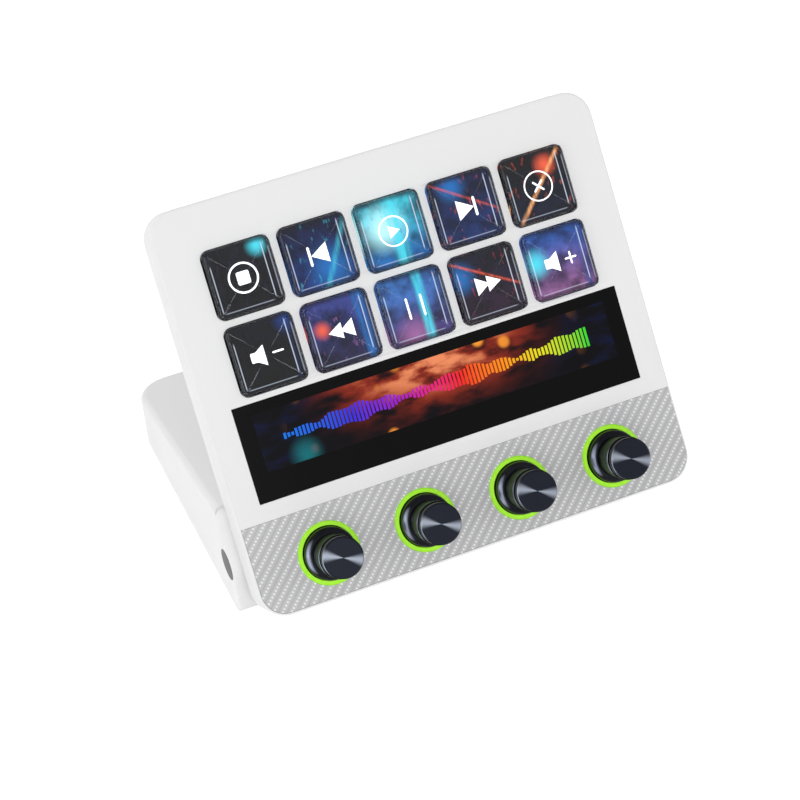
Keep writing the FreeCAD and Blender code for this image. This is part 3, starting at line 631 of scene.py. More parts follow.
@dataclass(frozen=True)
class Picture:
    """An abstract lit background: a gradient with one glow, one streak and some flecks.

    Places run from -1 to 1 across the key; sizes are in the same unit.
    """

    low: Colour
    high: Colour
    glow: Colour
    glow_at: tuple[float, float] = (0.0, 0.0)
    glow_size: float = 0.6
    streak: Colour = srgb(60, 200, 225)
    streak_at: float = 0.3
    streak_width: float = 0.2
    streak_lean: float = 0.0
    streak_strength: float = 0.0
    fleck: Colour = srgb(190, 80, 110)
    fleck_strength: float = 0.3
    fleck_rate: float = 2.6
    fleck_stretch: float = 2.5
    fleck_edge: Span = (0.60, 0.70)
    gradient_edge: Span = (-0.9, 0.9)
    cloud_rate: float = 1.7
    cloud_edge: Span = (0.3, 0.7)
    cloud_shade: Colour = srgb(120, 120, 130)
    thread_rates: Span = (9.0, 0.7)
    thread_edge: Span = (0.2, 0.6)
    # The rim settings paint shade at the picture's rim; the line settings paint the edge highlights
    rim_edge: Span = (0.82, 0.97)
    rim_depth: float = 0.8
    rim_shade: Colour = srgb(8, 10, 20)
    line_edge: Span = (0.024, 0.006)
    line_before: float = 0.04
    line_after: float = 0.1
    painted_line_light: Colour = srgb(214, 224, 240)
    own_colour_loss: float = 0.94
    roughness: float = 0.8
    brightness: float = 1.15

    def backdrop(self, graph: Graph, place: Socket, seed: tuple[float, ...]) -> Socket:
        """Colours the clouded gradient and the glow on it.

        Args:
            graph: The material's graph.
            place: The picture's coordinates.
            seed: A shift that gives each key its own clouds.

        Returns:
            The colour.
        """
        rise = graph.fade(graph.split(place)[1], *self.gradient_edge)
        colour = graph.blend(rise, self.low, self.high)
        cloud = graph.noise(graph.vector("ADD", place, seed).outputs[0], self.cloud_rate, detail=5.0)
        light = graph.blend(graph.fade(cloud, *self.cloud_edge), self.cloud_shade, WHITE)
        colour = graph.blend(1.0, colour, light, "MULTIPLY")
        away = graph.vector("DISTANCE", place, self.glow_at + (0.0,)).outputs["Value"]
        return graph.blend(graph.fade(away, self.glow_size, 0.0), colour, self.glow)

    def marked(self, graph: Graph, place: Socket, seed: tuple[float, ...], colour: Socket) -> Socket:
        """Adds the streak and the flecks.

        Args:
            graph: The material's graph.
            place: The picture's coordinates.
            seed: A shift that gives each key its own flecks.
            colour: The colour below them.

        Returns:
            The colour with both.
        """
        x, y, _ = graph.split(place)
        lean = graph.math("ADD", x, graph.product(y, math.tan(self.streak_lean)))
        across, along = self.thread_rates
        threads = graph.noise(graph.join(graph.product(x, across), graph.product(y, along)), 1.0)
        beam = graph.product(graph.fade(graph.gap(lean, self.streak_at), self.streak_width, 0.0),
                             self.streak_strength, graph.fade(threads, *self.thread_edge))
        colour = graph.blend(beam, colour, self.streak)
        spots = graph.vector("ADD", graph.join(graph.product(x, self.fleck_stretch), y), seed).outputs[0]
        flecks = graph.fade(graph.noise(spots, self.fleck_rate, detail=4.0), *self.fleck_edge)
        return graph.blend(graph.product(flecks, self.fleck_strength), colour, self.fleck)

    def edged(self, graph: Graph, place: Socket, colour: Socket) -> Socket:
        """Paints shade on the picture's rim and paints the thin highlights that stand for light caught by the
        cap's inner edges.

        Args:
            graph: The material's graph.
            place: The picture's coordinates.
            colour: The colour below them.

        Returns:
            The colour with its edges.
        """
        x, y, _ = graph.split(place)
        out = graph.math("MAXIMUM", graph.math("ABSOLUTE", x), graph.math("ABSOLUTE", y))
        # Painted shade towards the picture's rim
        rim = graph.product(graph.fade(out, *self.rim_edge), self.rim_depth)
        colour = graph.blend(rim, colour, self.rim_shade)
        # Painted highlight lines along the caps' inner edges
        for light in PAINTED_EDGE_LIGHTS:
            across, along = (x, y) if light.upright else (y, x)
            line = graph.product(
                graph.fade(graph.gap(across, light.across), *self.line_edge),
                graph.fade(along, light.start - self.line_before, light.start + self.line_after),
                graph.fade(along, light.end + self.line_before, light.end - self.line_after), light.strength)
            colour = graph.blend(line, colour, self.painted_line_light)
        return colour

    def build(self, name: str, face: Face, centre: Sequence[float], half: float) -> Finish:
        """Builds the picture round one key's centre.

        Args:
            name: The material's name.
            face: The head's flat coordinates.
            centre: The key's centre in flat coordinates, in metres.
            half: Half the key's width in metres.

        Returns:
            The lit material.
        """
        material, graph, shader = new_material(name)
        place = graph.place(face, centre, half)
        seed = tuple(value / MM for value in centre)
        colour = self.marked(graph, place, seed, self.backdrop(graph, place, seed))
        colour = self.edged(graph, place, colour)
        graph.fill(shader, Base_Color=graph.blend(self.own_colour_loss, colour, BLACK), Emission_Color=colour,
                   Emission_Strength=self.brightness, Roughness=self.roughness, Specular_IOR_Level=0.0)
        return material


@dataclass(frozen=True)
class KeyFace:
    """What one key shows: its sign and the picture behind it."""

    symbol: Symbol
    picture: Picture


NIGHT = srgb(7, 9, 18)
NAVY = srgb(14, 24, 66)
DEEP = srgb(20, 52, 118)
AZURE = srgb(24, 104, 176)
AQUA = srgb(70, 214, 232)
PLUM = srgb(74, 60, 122)
ROSE = srgb(150, 96, 150)
EMBER = srgb(235, 92, 62)

KEY_FACES = (
    KeyFace(Symbol.STOP, Picture(
        low=NIGHT, high=srgb(12, 16, 30), glow=AQUA, glow_at=(0.62, 0.78), glow_size=0.42,
        fleck=PLUM, fleck_strength=0.15)),
    KeyFace(Symbol.PREVIOUS, Picture(
        low=DEEP, high=NAVY, glow=AZURE, glow_at=(0.25, -0.45), glow_size=0.9,
        streak=AQUA, streak_at=0.55, streak_width=0.16, streak_lean=-0.5, streak_strength=0.4,
        fleck=AQUA, fleck_strength=0.25)),
    KeyFace(Symbol.PLAY, Picture(
        low=AZURE, high=AQUA, glow=srgb(190, 250, 250), glow_at=(-0.25, 0.15), glow_size=0.9,
        streak=AQUA, streak_at=0.1, streak_width=0.35, streak_strength=0.9,
        fleck=AZURE, fleck_strength=0.3)),
    KeyFace(Symbol.NEXT, Picture(
        low=srgb(22, 48, 104), high=NAVY, glow=AZURE, glow_at=(-0.3, 0.7), glow_size=0.6,
        streak=EMBER, streak_at=0.55, streak_width=0.12, streak_lean=1.0, streak_strength=0.5,
        fleck=EMBER, fleck_strength=0.35)),
    KeyFace(Symbol.CROSS, Picture(
        low=srgb(9, 18, 44), high=NIGHT, glow=EMBER, glow_at=(0.35, 0.55), glow_size=0.45,
        streak=srgb(255, 176, 110), streak_at=0.05, streak_width=0.13, streak_lean=-0.72,
        streak_strength=0.9, fleck=EMBER, fleck_strength=0.3)),
    KeyFace(Symbol.QUIETER, Picture(
        low=srgb(5, 7, 13), high=srgb(8, 12, 24), glow=DEEP, glow_at=(0.8, 0.8), glow_size=0.5,
        streak=DEEP, streak_at=0.8, streak_width=0.1, streak_strength=0.3,
        fleck=NAVY, fleck_strength=0.2)),
    KeyFace(Symbol.REWIND, Picture(
        low=srgb(38, 34, 74), high=srgb(52, 62, 132), glow=EMBER, glow_at=(-0.55, 0.15), glow_size=0.35,
        streak=AZURE, streak_at=0.72, streak_width=0.3, streak_strength=0.9,
        fleck=ROSE, fleck_strength=0.5)),
    KeyFace(Symbol.PAUSE, Picture(
        low=PLUM, high=srgb(60, 120, 196), glow=ROSE, glow_at=(-0.2, -0.8), glow_size=0.8,
        streak=AQUA, streak_at=0.25, streak_width=0.22, streak_strength=1.0,
        fleck=PLUM, fleck_strength=0.5)),
    KeyFace(Symbol.FORWARD, Picture(
        low=srgb(40, 20, 44), high=srgb(16, 16, 40), glow=AZURE, glow_at=(-0.8, 0.35), glow_size=0.65,
        streak=EMBER, streak_at=0.5, streak_width=0.13, streak_lean=1.05, streak_strength=0.7,
        fleck=srgb(170, 50, 70), fleck_strength=0.5)),
    KeyFace(Symbol.LOUDER, Picture(
        low=ROSE, high=srgb(38, 92, 176), glow=AQUA, glow_at=(-0.75, 0.1), glow_size=0.6,
        streak=srgb(30, 60, 130), streak_at=0.75, streak_width=0.3, streak_strength=0.7,
        fleck=PLUM, fleck_strength=0.5)),
)


@dataclass(frozen=True)
class StripPicture:
    """The black strip glass with its lit window: a warm haze and a rainbow level meter.

    Sizes are in millimetres. Each wave of the meter is its rate along the bars and its height.
    """

    name: str = "strip_glass_lit"
    half_width: float = 54.2
    half_height: float = 8.3
    lit_depth: float = 0.2
    meter_half: float = 47.0
    bar_pitch: float = 1.15
    bar_share: float = 0.66
    rest_height: float = 1.3
    swell: Span = (0.21, 0.9)
    ripple: Span = (0.83, 0.55)
    flutter: Span = (2.3, 1.5)
    meter_scale: float = 0.85
    haze_rates: Span = (0.05, 0.12)
    haze_scale: float = 1.6
    lift_edge: Span = (-9.0, 9.0)
    lift_low: float = 0.15
    warm_reach: Span = (0.86, 0.0)
    warm_edge: Span = (0.28, 0.62)
    ember_edge: Span = (0.0, 0.5)
    flame_edge: Span = (0.35, 0.85)
    spot_rate: float = 0.13
    spot_edge: Span = (0.30, 0.12)
    spot_choice: Span = (0.58, 0.62)
    spot_reach: Span = (0.9, 0.25)
    spot_strength: float = 0.95
    cool_at: tuple[float, float, float] = (-42.0, -6.5, 0.0)
    cool_edge: Span = (6.0, 0.5)
    cool_strength: float = 0.7
    cold_reach: Span = (0.5, 1.0)
    cold_edge: Span = (0.45, 0.7)
    cold_strength: float = 0.5
    night: Colour = srgb(6, 6, 12)
    ember: Colour = srgb(146, 46, 28)
    flame: Colour = srgb(240, 142, 96)
    spot: Colour = srgb(255, 158, 52)
    cool: Colour = srgb(24, 128, 136)
    cold: Colour = srgb(16, 28, 78)
    glass: Colour = srgb(9, 9, 10)
    glass_pale: Colour = srgb(13, 13, 14)
    roughness: float = 0.16
    specular: float = 0.06
    rainbow_stops: tuple[tuple[float, Colour], ...] = (
        (0.0, srgb(20, 120, 230)), (0.22, srgb(50, 50, 225)), (0.36, srgb(150, 30, 210)),
        (0.48, srgb(235, 30, 130)), (0.58, srgb(250, 40, 30)), (0.72, srgb(255, 150, 20)),
        (0.84, srgb(235, 225, 30)), (1.0, srgb(50, 215, 50)))

    def level(self, graph: Graph, column: Any) -> Socket:
        """Finds how high the meter stands at a column, from two slow waves and a quick flutter.

        Args:
            graph: The material's graph.
            column: The column's number.

        Returns:
            The height over the meter's middle.
        """
        tall = self.rest_height
        for rate, rise in (self.swell, self.ripple):
            tall = graph.math("MULTIPLY_ADD", graph.math("SINE", graph.product(column, rate)), rise, tall)
        rate, rise = self.flutter
        flutter = graph.noise(graph.join(column, 0.0), rate, detail=0.0)
        return graph.product(graph.math("MULTIPLY_ADD", flutter, rise, tall), self.meter_scale)

    def rainbow(self, graph: Graph, share: Any) -> Socket:
        """Colours the meter from blue at the left to green at the right.

        Args:
            graph: The material's graph.
            share: The place along the meter, from 0 to 1.

        Returns:
            The colour.
        """
        ramp = graph.node("ShaderNodeValToRGB")
        for place, colour in self.rainbow_stops[1:-1]:
            ramp.color_ramp.elements.new(place).color = colour
        for end in (0, -1):
            ramp.color_ramp.elements[end].color = self.rainbow_stops[end][1]
        return graph.order(ramp, share).outputs[0]

    def meter(self, graph: Graph, x: Socket, y: Socket) -> Socket:
        """Masks the meter's bars.

        Args:
            graph: The material's graph.
            x: The place along the strip.
            y: The place up the strip.

        Returns:
            One on a bar and zero beside it.
        """
        step = graph.math("DIVIDE", x, self.bar_pitch)
        on_bar = graph.math("LESS_THAN", graph.off_middle(step), self.bar_share / 2)
        short = graph.math("LESS_THAN", graph.math("ABSOLUTE", y),
                           self.level(graph, graph.math("FLOOR", step)))
        ends = graph.math("LESS_THAN", graph.math("ABSOLUTE", x), self.meter_half)
        return graph.product(on_bar, short, ends)

    def backdrop(self, graph: Graph, place: Socket, haze: Socket) -> Socket:
        """Colours the haze behind the meter, with its warm and cool lights.

        Args:
            graph: The material's graph.
            place: The strip's coordinates.
            haze: The cloudy value that the colours follow.

        Returns:
            The colour.
        """
        x, y, _ = graph.split(place)
        wide = graph.math("DIVIDE", graph.math("ABSOLUTE", x), self.half_width)
        lift = graph.math("MULTIPLY_ADD", graph.fade(y, *self.lift_edge), 1 - self.lift_low, self.lift_low)
        warm = graph.product(graph.fade(wide, *self.warm_reach), graph.fade(haze, *self.warm_edge), lift)
        colour = graph.blend(graph.fade(warm, *self.ember_edge), self.night, self.ember)
        colour = graph.blend(graph.fade(warm, *self.flame_edge), colour, self.flame)
        cells = graph.node("ShaderNodeTexVoronoi", feature="F1")
        graph.fill(cells, Vector=place, Scale=self.spot_rate)
        lamp = graph.fade(cells.outputs["Distance"], *self.spot_edge)
        chosen = graph.fade(graph.split(cells.outputs["Color"])[0], *self.spot_choice)
        spots = graph.product(lamp, chosen, graph.fade(wide, *self.spot_reach), self.spot_strength)
        colour = graph.blend(spots, colour, self.spot)
        near = graph.fade(graph.vector("DISTANCE", place, self.cool_at).outputs["Value"], *self.cool_edge)
        colour = graph.blend(graph.product(near, self.cool_strength), colour, self.cool)
        cold = graph.product(graph.fade(wide, *self.cold_reach), graph.fade(haze, *self.cold_edge),
                             self.cold_strength)
        return graph.blend(cold, colour, self.cold)

    def build(self, face: Face, centre: Sequence[float]) -> Finish:
        """Builds the strip round its middle.

        Args:
            face: The head's flat coordinates.
            centre: The window's middle in flat coordinates, in metres.

        Returns:
            The finished material.
        """
        material, graph, shader = new_material(self.name)
        place = graph.place(face, centre)
        x, y, out = graph.split(place)
        across, upright = self.haze_rates
        haze = graph.noise(graph.join(graph.product(x, across), graph.product(y, upright)), self.haze_scale,
                           detail=5.0)
        share = graph.math("MULTIPLY_ADD", x, 0.5 / self.meter_half, 0.5)
        colour = graph.blend(self.meter(graph, x, y), self.backdrop(graph, place, haze),
                             self.rainbow(graph, share))
        window = graph.product(graph.math("LESS_THAN", graph.math("ABSOLUTE", x), self.half_width),
                               graph.math("LESS_THAN", graph.math("ABSOLUTE", y), self.half_height),
                               graph.math("GREATER_THAN", out, -self.lit_depth))
        graph.fill(shader, Base_Color=graph.blend(haze, self.glass, self.glass_pale),
                   Emission_Color=graph.blend(window, BLACK, colour), Emission_Strength=1.0,
                   Roughness=self.roughness, Specular_IOR_Level=self.specular)
        return material


@dataclass(frozen=True)
class ClearCap:
    """The clear polished plastic of the key caps."""

    name: str = "clear_cap"
    tint: Colour = (0.93, 0.96, 1.0, 1.0)
    bend: float = 1.42
    specular: float = 0.05
    wave_rate: float = 0.5
    wave_height: float = 0.02
    wave_strength: float = 0.25

    def build(self, effects: Effects) -> Finish:
        """Builds the clear plastic with a faint waviness.

        Args:
            effects: The shared effects.

        Returns:
            The finished material.
        """
        material, graph, shader = new_material(self.name)
        waves = graph.group(effects.grain, Grain=self.wave_rate).outputs["Height"]
        graph.fill(shader, Base_Color=self.tint, Transmission_Weight=1.0, Roughness=0.0, IOR=self.bend,
                   Specular_IOR_Level=self.specular,
                   Normal=graph.bump(waves, self.wave_height * MM, self.wave_strength))
        return material


def deselect() -> None:
    """Leaves edit mode and deselects every object."""
    if bpy.context.object and bpy.context.object.mode != "OBJECT":
        bpy.ops.object.mode_set(mode="OBJECT")
    bpy.ops.object.select_all(action="DESELECT")


def activate(piece: Thing) -> None:
    """Selects one object alone and makes it active.

    Args:
        piece: The object.
    """
    deselect()
    piece.select_set(True)
    bpy.context.view_layer.objects.active = piece


@contextmanager
def editing(piece: Thing) -> Iterator[None]:
    """Opens a piece in edit mode with nothing selected, and closes it again.

    Args:
        piece: The piece.

    Yields:
        Nothing, while the piece is open.
    """
    activate(piece)
    bpy.ops.object.mode_set(mode="EDIT")
    bpy.ops.mesh.select_all(action="DESELECT")
    try:
        yield
    finally:
        bpy.ops.object.mode_set(mode="OBJECT")


def pick(piece: Thing, edges: Optional[Callable[[Any], bool]] = None,
         faces: Optional[Callable[[Any], bool]] = None) -> None:
    """Selects edges or faces of the piece in edit mode by a test on each.

    Args:
        piece: The piece that is being edited.
        edges: The test for edges, or None.
        faces: The test for faces, or None.
    """
    bpy.ops.mesh.select_mode(type="EDGE" if edges else "FACE")
    bpy.ops.mesh.select_all(action="DESELECT")
    mesh = bmesh.from_edit_mesh(piece.data)
    for element in filter(edges or faces, mesh.edges if edges else mesh.faces):
        element.select_set(True)
    bmesh.update_edit_mesh(piece.data)


def settle(piece: Thing) -> Thing:
    """Moves an object's place into its mesh.

    Args:
        piece: The object.

    Returns:
        The same object, at the origin.
    """
    activate(piece)
    bpy.ops.object.transform_apply(location=True, rotation=True, scale=True)
    return piece


def slab(width: float, height: float, low: float, high: float, corner: float = 0.0,
         at: Sequence[float] = (0.0, 0.0), turn: float = 0.0) -> Thing:
    """Makes a flat block with rounded upright corners, in millimetres.

    Args:
        width: Its size along x.
        height: Its size along y.
        low: Its lower level.
        high: Its upper level.
        corner: The radius of its corners.
        at: Its middle.
        turn: Its turn about z in radians.

    Returns:
        The block.
    """
    deselect()
    bpy.ops.mesh.primitive_cube_add(size=1, location=(at[0], at[1], (low + high) / 2), rotation=(0, 0, turn))
    block = bpy.context.object
    block.scale = (width, height, high - low)
    bpy.ops.object.transform_apply(location=False, rotation=False, scale=True)
    if corner:
        with editing(block):
            pick(block, edges=lambda edge: abs(edge.verts[0].co.z - edge.verts[1].co.z) > (high - low) / 2)
            bpy.ops.mesh.bevel(offset=corner, segments=CORNER_STEPS, affect="EDGES")
    return settle(block)


def annulus(outer: float, inner: float, low: float, high: float) -> Thing:
    """Makes a flat ring round the origin, in millimetres.

    Args:
        outer: Its outer radius.
        inner: Its inner radius.
        low: Its lower level.
        high: Its upper level.

    Returns:
        The ring.
    """
    deselect()
    bpy.ops.mesh.primitive_cylinder_add(vertices=RING_SIDES, radius=outer, depth=high - low,
                                        location=(0, 0, (low + high) / 2))
    ring = settle(bpy.context.object)
    with editing(ring):
        pick(ring, faces=lambda side: len(side.verts) > 4)
        bpy.ops.mesh.inset(thickness=outer - inner, use_even_offset=True)
        bpy.ops.mesh.bridge_edge_loops()
    return ring


def wedge(points: Sequence[tuple[float, float]], low: float, high: float) -> Thing:
    """Makes a flat prism from a block whose top and bottom corners are drawn to four points.

    Args:
        points: Four corners, counterclockwise from the lower left; two may meet.
        low: Its lower level.
        high: Its upper level.

    Returns:
        The prism.
    """
    block = slab(1, 1, low, high)
    corners = ((-1, -1), (1, -1), (1, 1), (-1, 1))
    for vertex in block.data.vertices:
        sign = (1 if vertex.co.x > 0 else -1, 1 if vertex.co.y > 0 else -1)
        vertex.co.x, vertex.co.y = points[corners.index(sign)]
    with editing(block):
        bpy.ops.mesh.select_all(action="SELECT")
        bpy.ops.mesh.remove_doubles(threshold=HAIR)
        bpy.ops.mesh.normals_make_consistent(inside=False)
    return block


def join(parts: Sequence[Thing]) -> Thing:
    """Joins objects into the first of them.

    Args:
        parts: The objects, two or more.

    Returns:
        The first object, which holds them all.
    """
    deselect()
    for part in parts:
        part.select_set(True)
    bpy.context.view_layer.objects.active = parts[0]
    bpy.ops.object.join()
    return parts[0]


def duplicate(source: Thing) -> Thing:
    """Copies an object of the builder's own, with a mesh of its own.

    Args:
        source: The object.

    Returns:
        The copy, in the scene.
    """
    copy = source.copy()
    copy.data = source.data.copy()
    bpy.context.scene.collection.objects.link(copy)
    return copy


def smooth(piece: Thing, degrees: float) -> None:
    """Shades a piece smooth where its faces meet at less than an angle, with flat faces kept flat.

    Args:
        piece: The piece.
        degrees: The largest angle that is shaded smooth.
    """
    activate(piece)
    bpy.ops.object.shade_smooth_by_angle(angle=math.radians(degrees))
    weigh = piece.modifiers.new("even_normals", "WEIGHTED_NORMAL")
    weigh.weight = 100
    weigh.keep_sharp = True
    bpy.ops.object.modifier_apply(modifier=weigh.name)


def hand_over(piece: Thing, name: str, body: str, materials: Sequence[Finish],
              stands_for: Sequence[str] = ()) -> Thing:
    """Names and dresses a piece and ties it to the part.

    Args:
        piece: The finished piece, already in its place.
        name: Its name.
        body: The body that it rides on.
        materials: Its materials, or none to keep those that it has.
        stands_for: The nodes that it replaces.

    Returns:
        The same piece.
    """
    piece.name = name
    piece.data.name = name
    if materials:
        piece.data.materials.clear()
        for material in materials:
            piece.data.materials.append(material)
    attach(piece, body)
    if stands_for:
        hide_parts(*stands_for)
    LOG.info("piece %s rides on %s, %d faces", name, body, len(piece.data.polygons))
    return piece


def smooth_copy(frame: dict[str, Any], node: str, body: str, material: Finish) -> Thing:
    """Makes a welded, smoothly shaded copy of a node that stands for it.

    Args:
        node: The node's name.
        body: The body that it rides on.
        material: Its finish.

    Returns:
        The copy.
    """
    source = frame["nodes"][node]
    copy = bpy.data.objects.new(node + "_skin", source.data.copy())
    bpy.context.scene.collection.objects.link(copy)
    with editing(copy):
        bpy.ops.mesh.select_all(action="SELECT")
        bpy.ops.mesh.remove_doubles(threshold=0.0002 * MM)
    smooth(copy, 28.0)
    return hand_over(copy, node + "_skin", body, [material], [node])


@dataclass(frozen=True)
class Signs:
    """The raised control signs, in millimetres round the key's middle.

    A bar is its width, its height and its place; an arrow is its tip, its tail and half its height.
    """

    low: float
    high: float
    line: float = 0.54
    ring_radius: float = 4.4
    stop_side: float = 3.7
    stop_corner: float = 0.5
    play_arrow: tuple[float, float, float] = (2.0, -1.3, 1.8)
    cross_length: float = 4.2
    bar_corner: float = 0.4
    skip_bar: tuple[float, float, float] = (0.74, 5.6, 2.7)
    skip_arrow: tuple[float, float, float] = (2.3, -2.7, 2.9)
    seek_arrows: tuple[tuple[float, float, float], ...] = ((3.9, -0.2, 2.3), (0.4, -3.7, 2.6))
    pause_bar: tuple[float, float, float] = (0.64, 6.2, 2.2)
    speaker_box: tuple[float, float, float] = (2.0, 2.8, -3.6)
    speaker_corner: float = 0.3
    horn_ends: tuple[float, float] = (-3.2, -0.4)
    horn_halves: tuple[float, float] = (1.2, 3.0)
    count_at: tuple[float, float] = (3.4, 0.0)
    count_corner: float = 0.35
    minus_length: float = 3.4
    plus_length: float = 3.6

    def bar(self, width: float, height: float, corner: float, at: Sequence[float] = (0.0, 0.0),
            turn: float = 0.0) -> Thing:
        """Returns a flat bar with rounded corners."""
        return slab(width, height, self.low, self.high, corner, at, turn)

    def ring(self, share: float = 1.0) -> Thing:
        """Returns a round line, as thick as a share of the other lines."""
        return annulus(self.ring_radius, self.ring_radius - self.line * share, self.low, self.high)

    def arrow(self, tip: float, tail: float, half: float) -> Thing:
        """Makes a triangle that points along x.

        Args:
            tip: Where it points to.
            tail: Where its blunt end is.
            half: Half its height.

        Returns:
            The triangle.
        """
        points = ((tip, 0), (tail, -half), (tail, half), (tip, 0))
        if tip > tail:
            points = ((tail, -half), (tip, 0), (tip, 0), (tail, half))
        return wedge(points, self.low, self.high)

    def speaker(self) -> list[Thing]:
        """Makes a loudspeaker.

        Returns:
            A small box and a flaring horn.
        """
        width, height, place = self.speaker_box
        (back, front), (small, large) = self.horn_ends, self.horn_halves
        points = ((back, -small), (front, -large), (front, large), (back, small))
        return [self.bar(width, height, self.speaker_corner, (place, 0)), wedge(points, self.low, self.high)]

    def parts(self, symbol: Symbol) -> list[Thing]:
        """Models the pieces of one sign.

        Args:
            symbol: Which sign.

        Returns:
            The pieces, each lying just over the picture.
        """
        side = -1 if symbol in (Symbol.PREVIOUS, Symbol.REWIND) else 1
        if symbol is Symbol.STOP:
            return [self.ring(), self.bar(self.stop_side, self.stop_side, self.stop_corner)]
        if symbol is Symbol.PLAY:
            return [self.ring(0.8), self.arrow(*self.play_arrow)]
        if symbol is Symbol.CROSS:
            return [self.ring(0.75)] + [self.bar(self.cross_length, self.line, self.line * 0.45, turn=turn)
                                        for turn in (-math.pi / 4, math.pi / 4)]
        if symbol in (Symbol.PREVIOUS, Symbol.NEXT):
            width, height, place = self.skip_bar
            tip, tail, half = self.skip_arrow
            return [self.bar(width, height, self.bar_corner, (side * place, 0)),
                    self.arrow(side * tip, side * tail, half)]
        if symbol in (Symbol.REWIND, Symbol.FORWARD):
            return [self.arrow(side * tip, side * tail, half) for tip, tail, half in self.seek_arrows]
        if symbol is Symbol.PAUSE:
            width, height, place = self.pause_bar
            return [self.bar(width, height, self.bar_corner, (end * place, 0)) for end in (-1, 1)]
        if symbol is Symbol.QUIETER:
            return self.speaker() + [self.bar(self.minus_length, self.line, self.count_corner, self.count_at)]
        return self.speaker() + [self.bar(self.plus_length, self.line, self.count_corner, self.count_at),
                                 self.bar(self.line, self.plus_length, self.count_corner, self.count_at)]


@dataclass
class Keys:
    """The ten clear keys, each with its lit picture and its sign."""

    nodes: dict[str, Any]
    face: Face
    effects: Effects
    width: float = 19.6
    height: float = 19.5
    corner: float = 2.2
    low: float = -3.0
    high: float = 1.4
    flange: float = 0.9
    flange_thick: float = 0.9
    bevel: float = 0.75
    step_in: float = 1.7
    picture_inset: float = 0.35
    picture_level: float = 0.35
    picture_thick: float = 0.3
    picture_bevel: float = 0.05
    sign_gap: float = 0.01
    sign_thick: float = 0.06
    smooth_below: float = 40.0

    def cap(self) -> Thing:
        """Models one cap: a rounded block with a retaining flange, a bevelled rim and an inset top that is
        poked into a fan.

        Returns:
            The cap at the origin.
        """
        shoulder = self.low + self.flange_thick
        cap = slab(self.width + 2 * self.flange, self.height + 2 * self.flange, self.low, shoulder,
                   self.corner)
        with editing(cap):
            pick(cap, faces=lambda side: side.normal.z > 0.9)
            bpy.ops.mesh.inset(thickness=self.flange, use_even_offset=True)
            bpy.ops.mesh.extrude_region_move(TRANSFORM_OT_translate={"value": (0, 0, self.high - shoulder)})
        top = self.high - HAIR
        with editing(cap):
            pick(cap, edges=lambda edge: all(vertex.co.z > top for vertex in edge.verts))
            bpy.ops.mesh.bevel(offset=self.bevel, segments=4, affect="EDGES")
        with editing(cap):
            pick(cap, faces=lambda side: side.normal.z > 0.9 and side.calc_center_median().z > top
                 and side.calc_area() > (self.width / 2) ** 2)
            bpy.ops.mesh.inset(thickness=self.step_in - self.bevel, use_even_offset=True)
            bpy.ops.mesh.poke()
            pick(cap, faces=lambda side: side.normal.z < -0.9 and len(side.verts) > 4)
            bpy.ops.mesh.poke()
        smooth(cap, self.smooth_below)
        return cap

    def picture(self) -> Thing:
        """Models the plate that holds a key's lit picture, just under the cap's top.

        Returns:
            The plate at the origin.
        """
        inset = 2 * self.picture_inset
        plate = slab(self.width - inset, self.height - inset, self.picture_level - self.picture_thick,
                     self.picture_level, self.corner - self.picture_inset)
        top = self.picture_level - 0.01
        with editing(plate):
            pick(plate, edges=lambda edge: all(vertex.co.z > top for vertex in edge.verts))
            bpy.ops.mesh.bevel(offset=self.picture_bevel, segments=2, affect="EDGES")
        return plate

    def build(self) -> None:
        """Makes every key and places it over its own node."""
        clear = ClearCap().build(self.effects)
        white = Moulding("sign_white", srgb(250, 250, 252), 0.5, mottle=0.0, specular=0.0,
                         glow=0.95).build(self.effects)
        sign_low = self.picture_level + self.sign_gap
        signs = Signs(sign_low, sign_low + self.sign_thick)
        cap, plate = self.cap(), self.picture()
        for number, shown in enumerate(KEY_FACES, 1):
            centre = self.face.centre(self.nodes[f"key_{number}"])
            lit = shown.picture.build(f"picture_{shown.symbol.value}", self.face, centre, self.width / 2 * MM)
            sign = join(signs.parts(shown.symbol))
            shift = self.face.matrix() @ Matrix.Translation(centre) @ Matrix.Scale(MM, 4)
            pieces = (("cap", duplicate(cap), clear, [f"key_{number}"]),
                      ("picture", duplicate(plate), lit, []), ("sign", sign, white, []))
            for kind, piece, finish, stands_for in pieces:
                piece.data.transform(shift)
                hand_over(piece, f"key_{number}_{kind}", f"key_body_{number}", [finish],
                          stands_for)
        for source in (cap, plate):
            bpy.data.objects.remove(source)


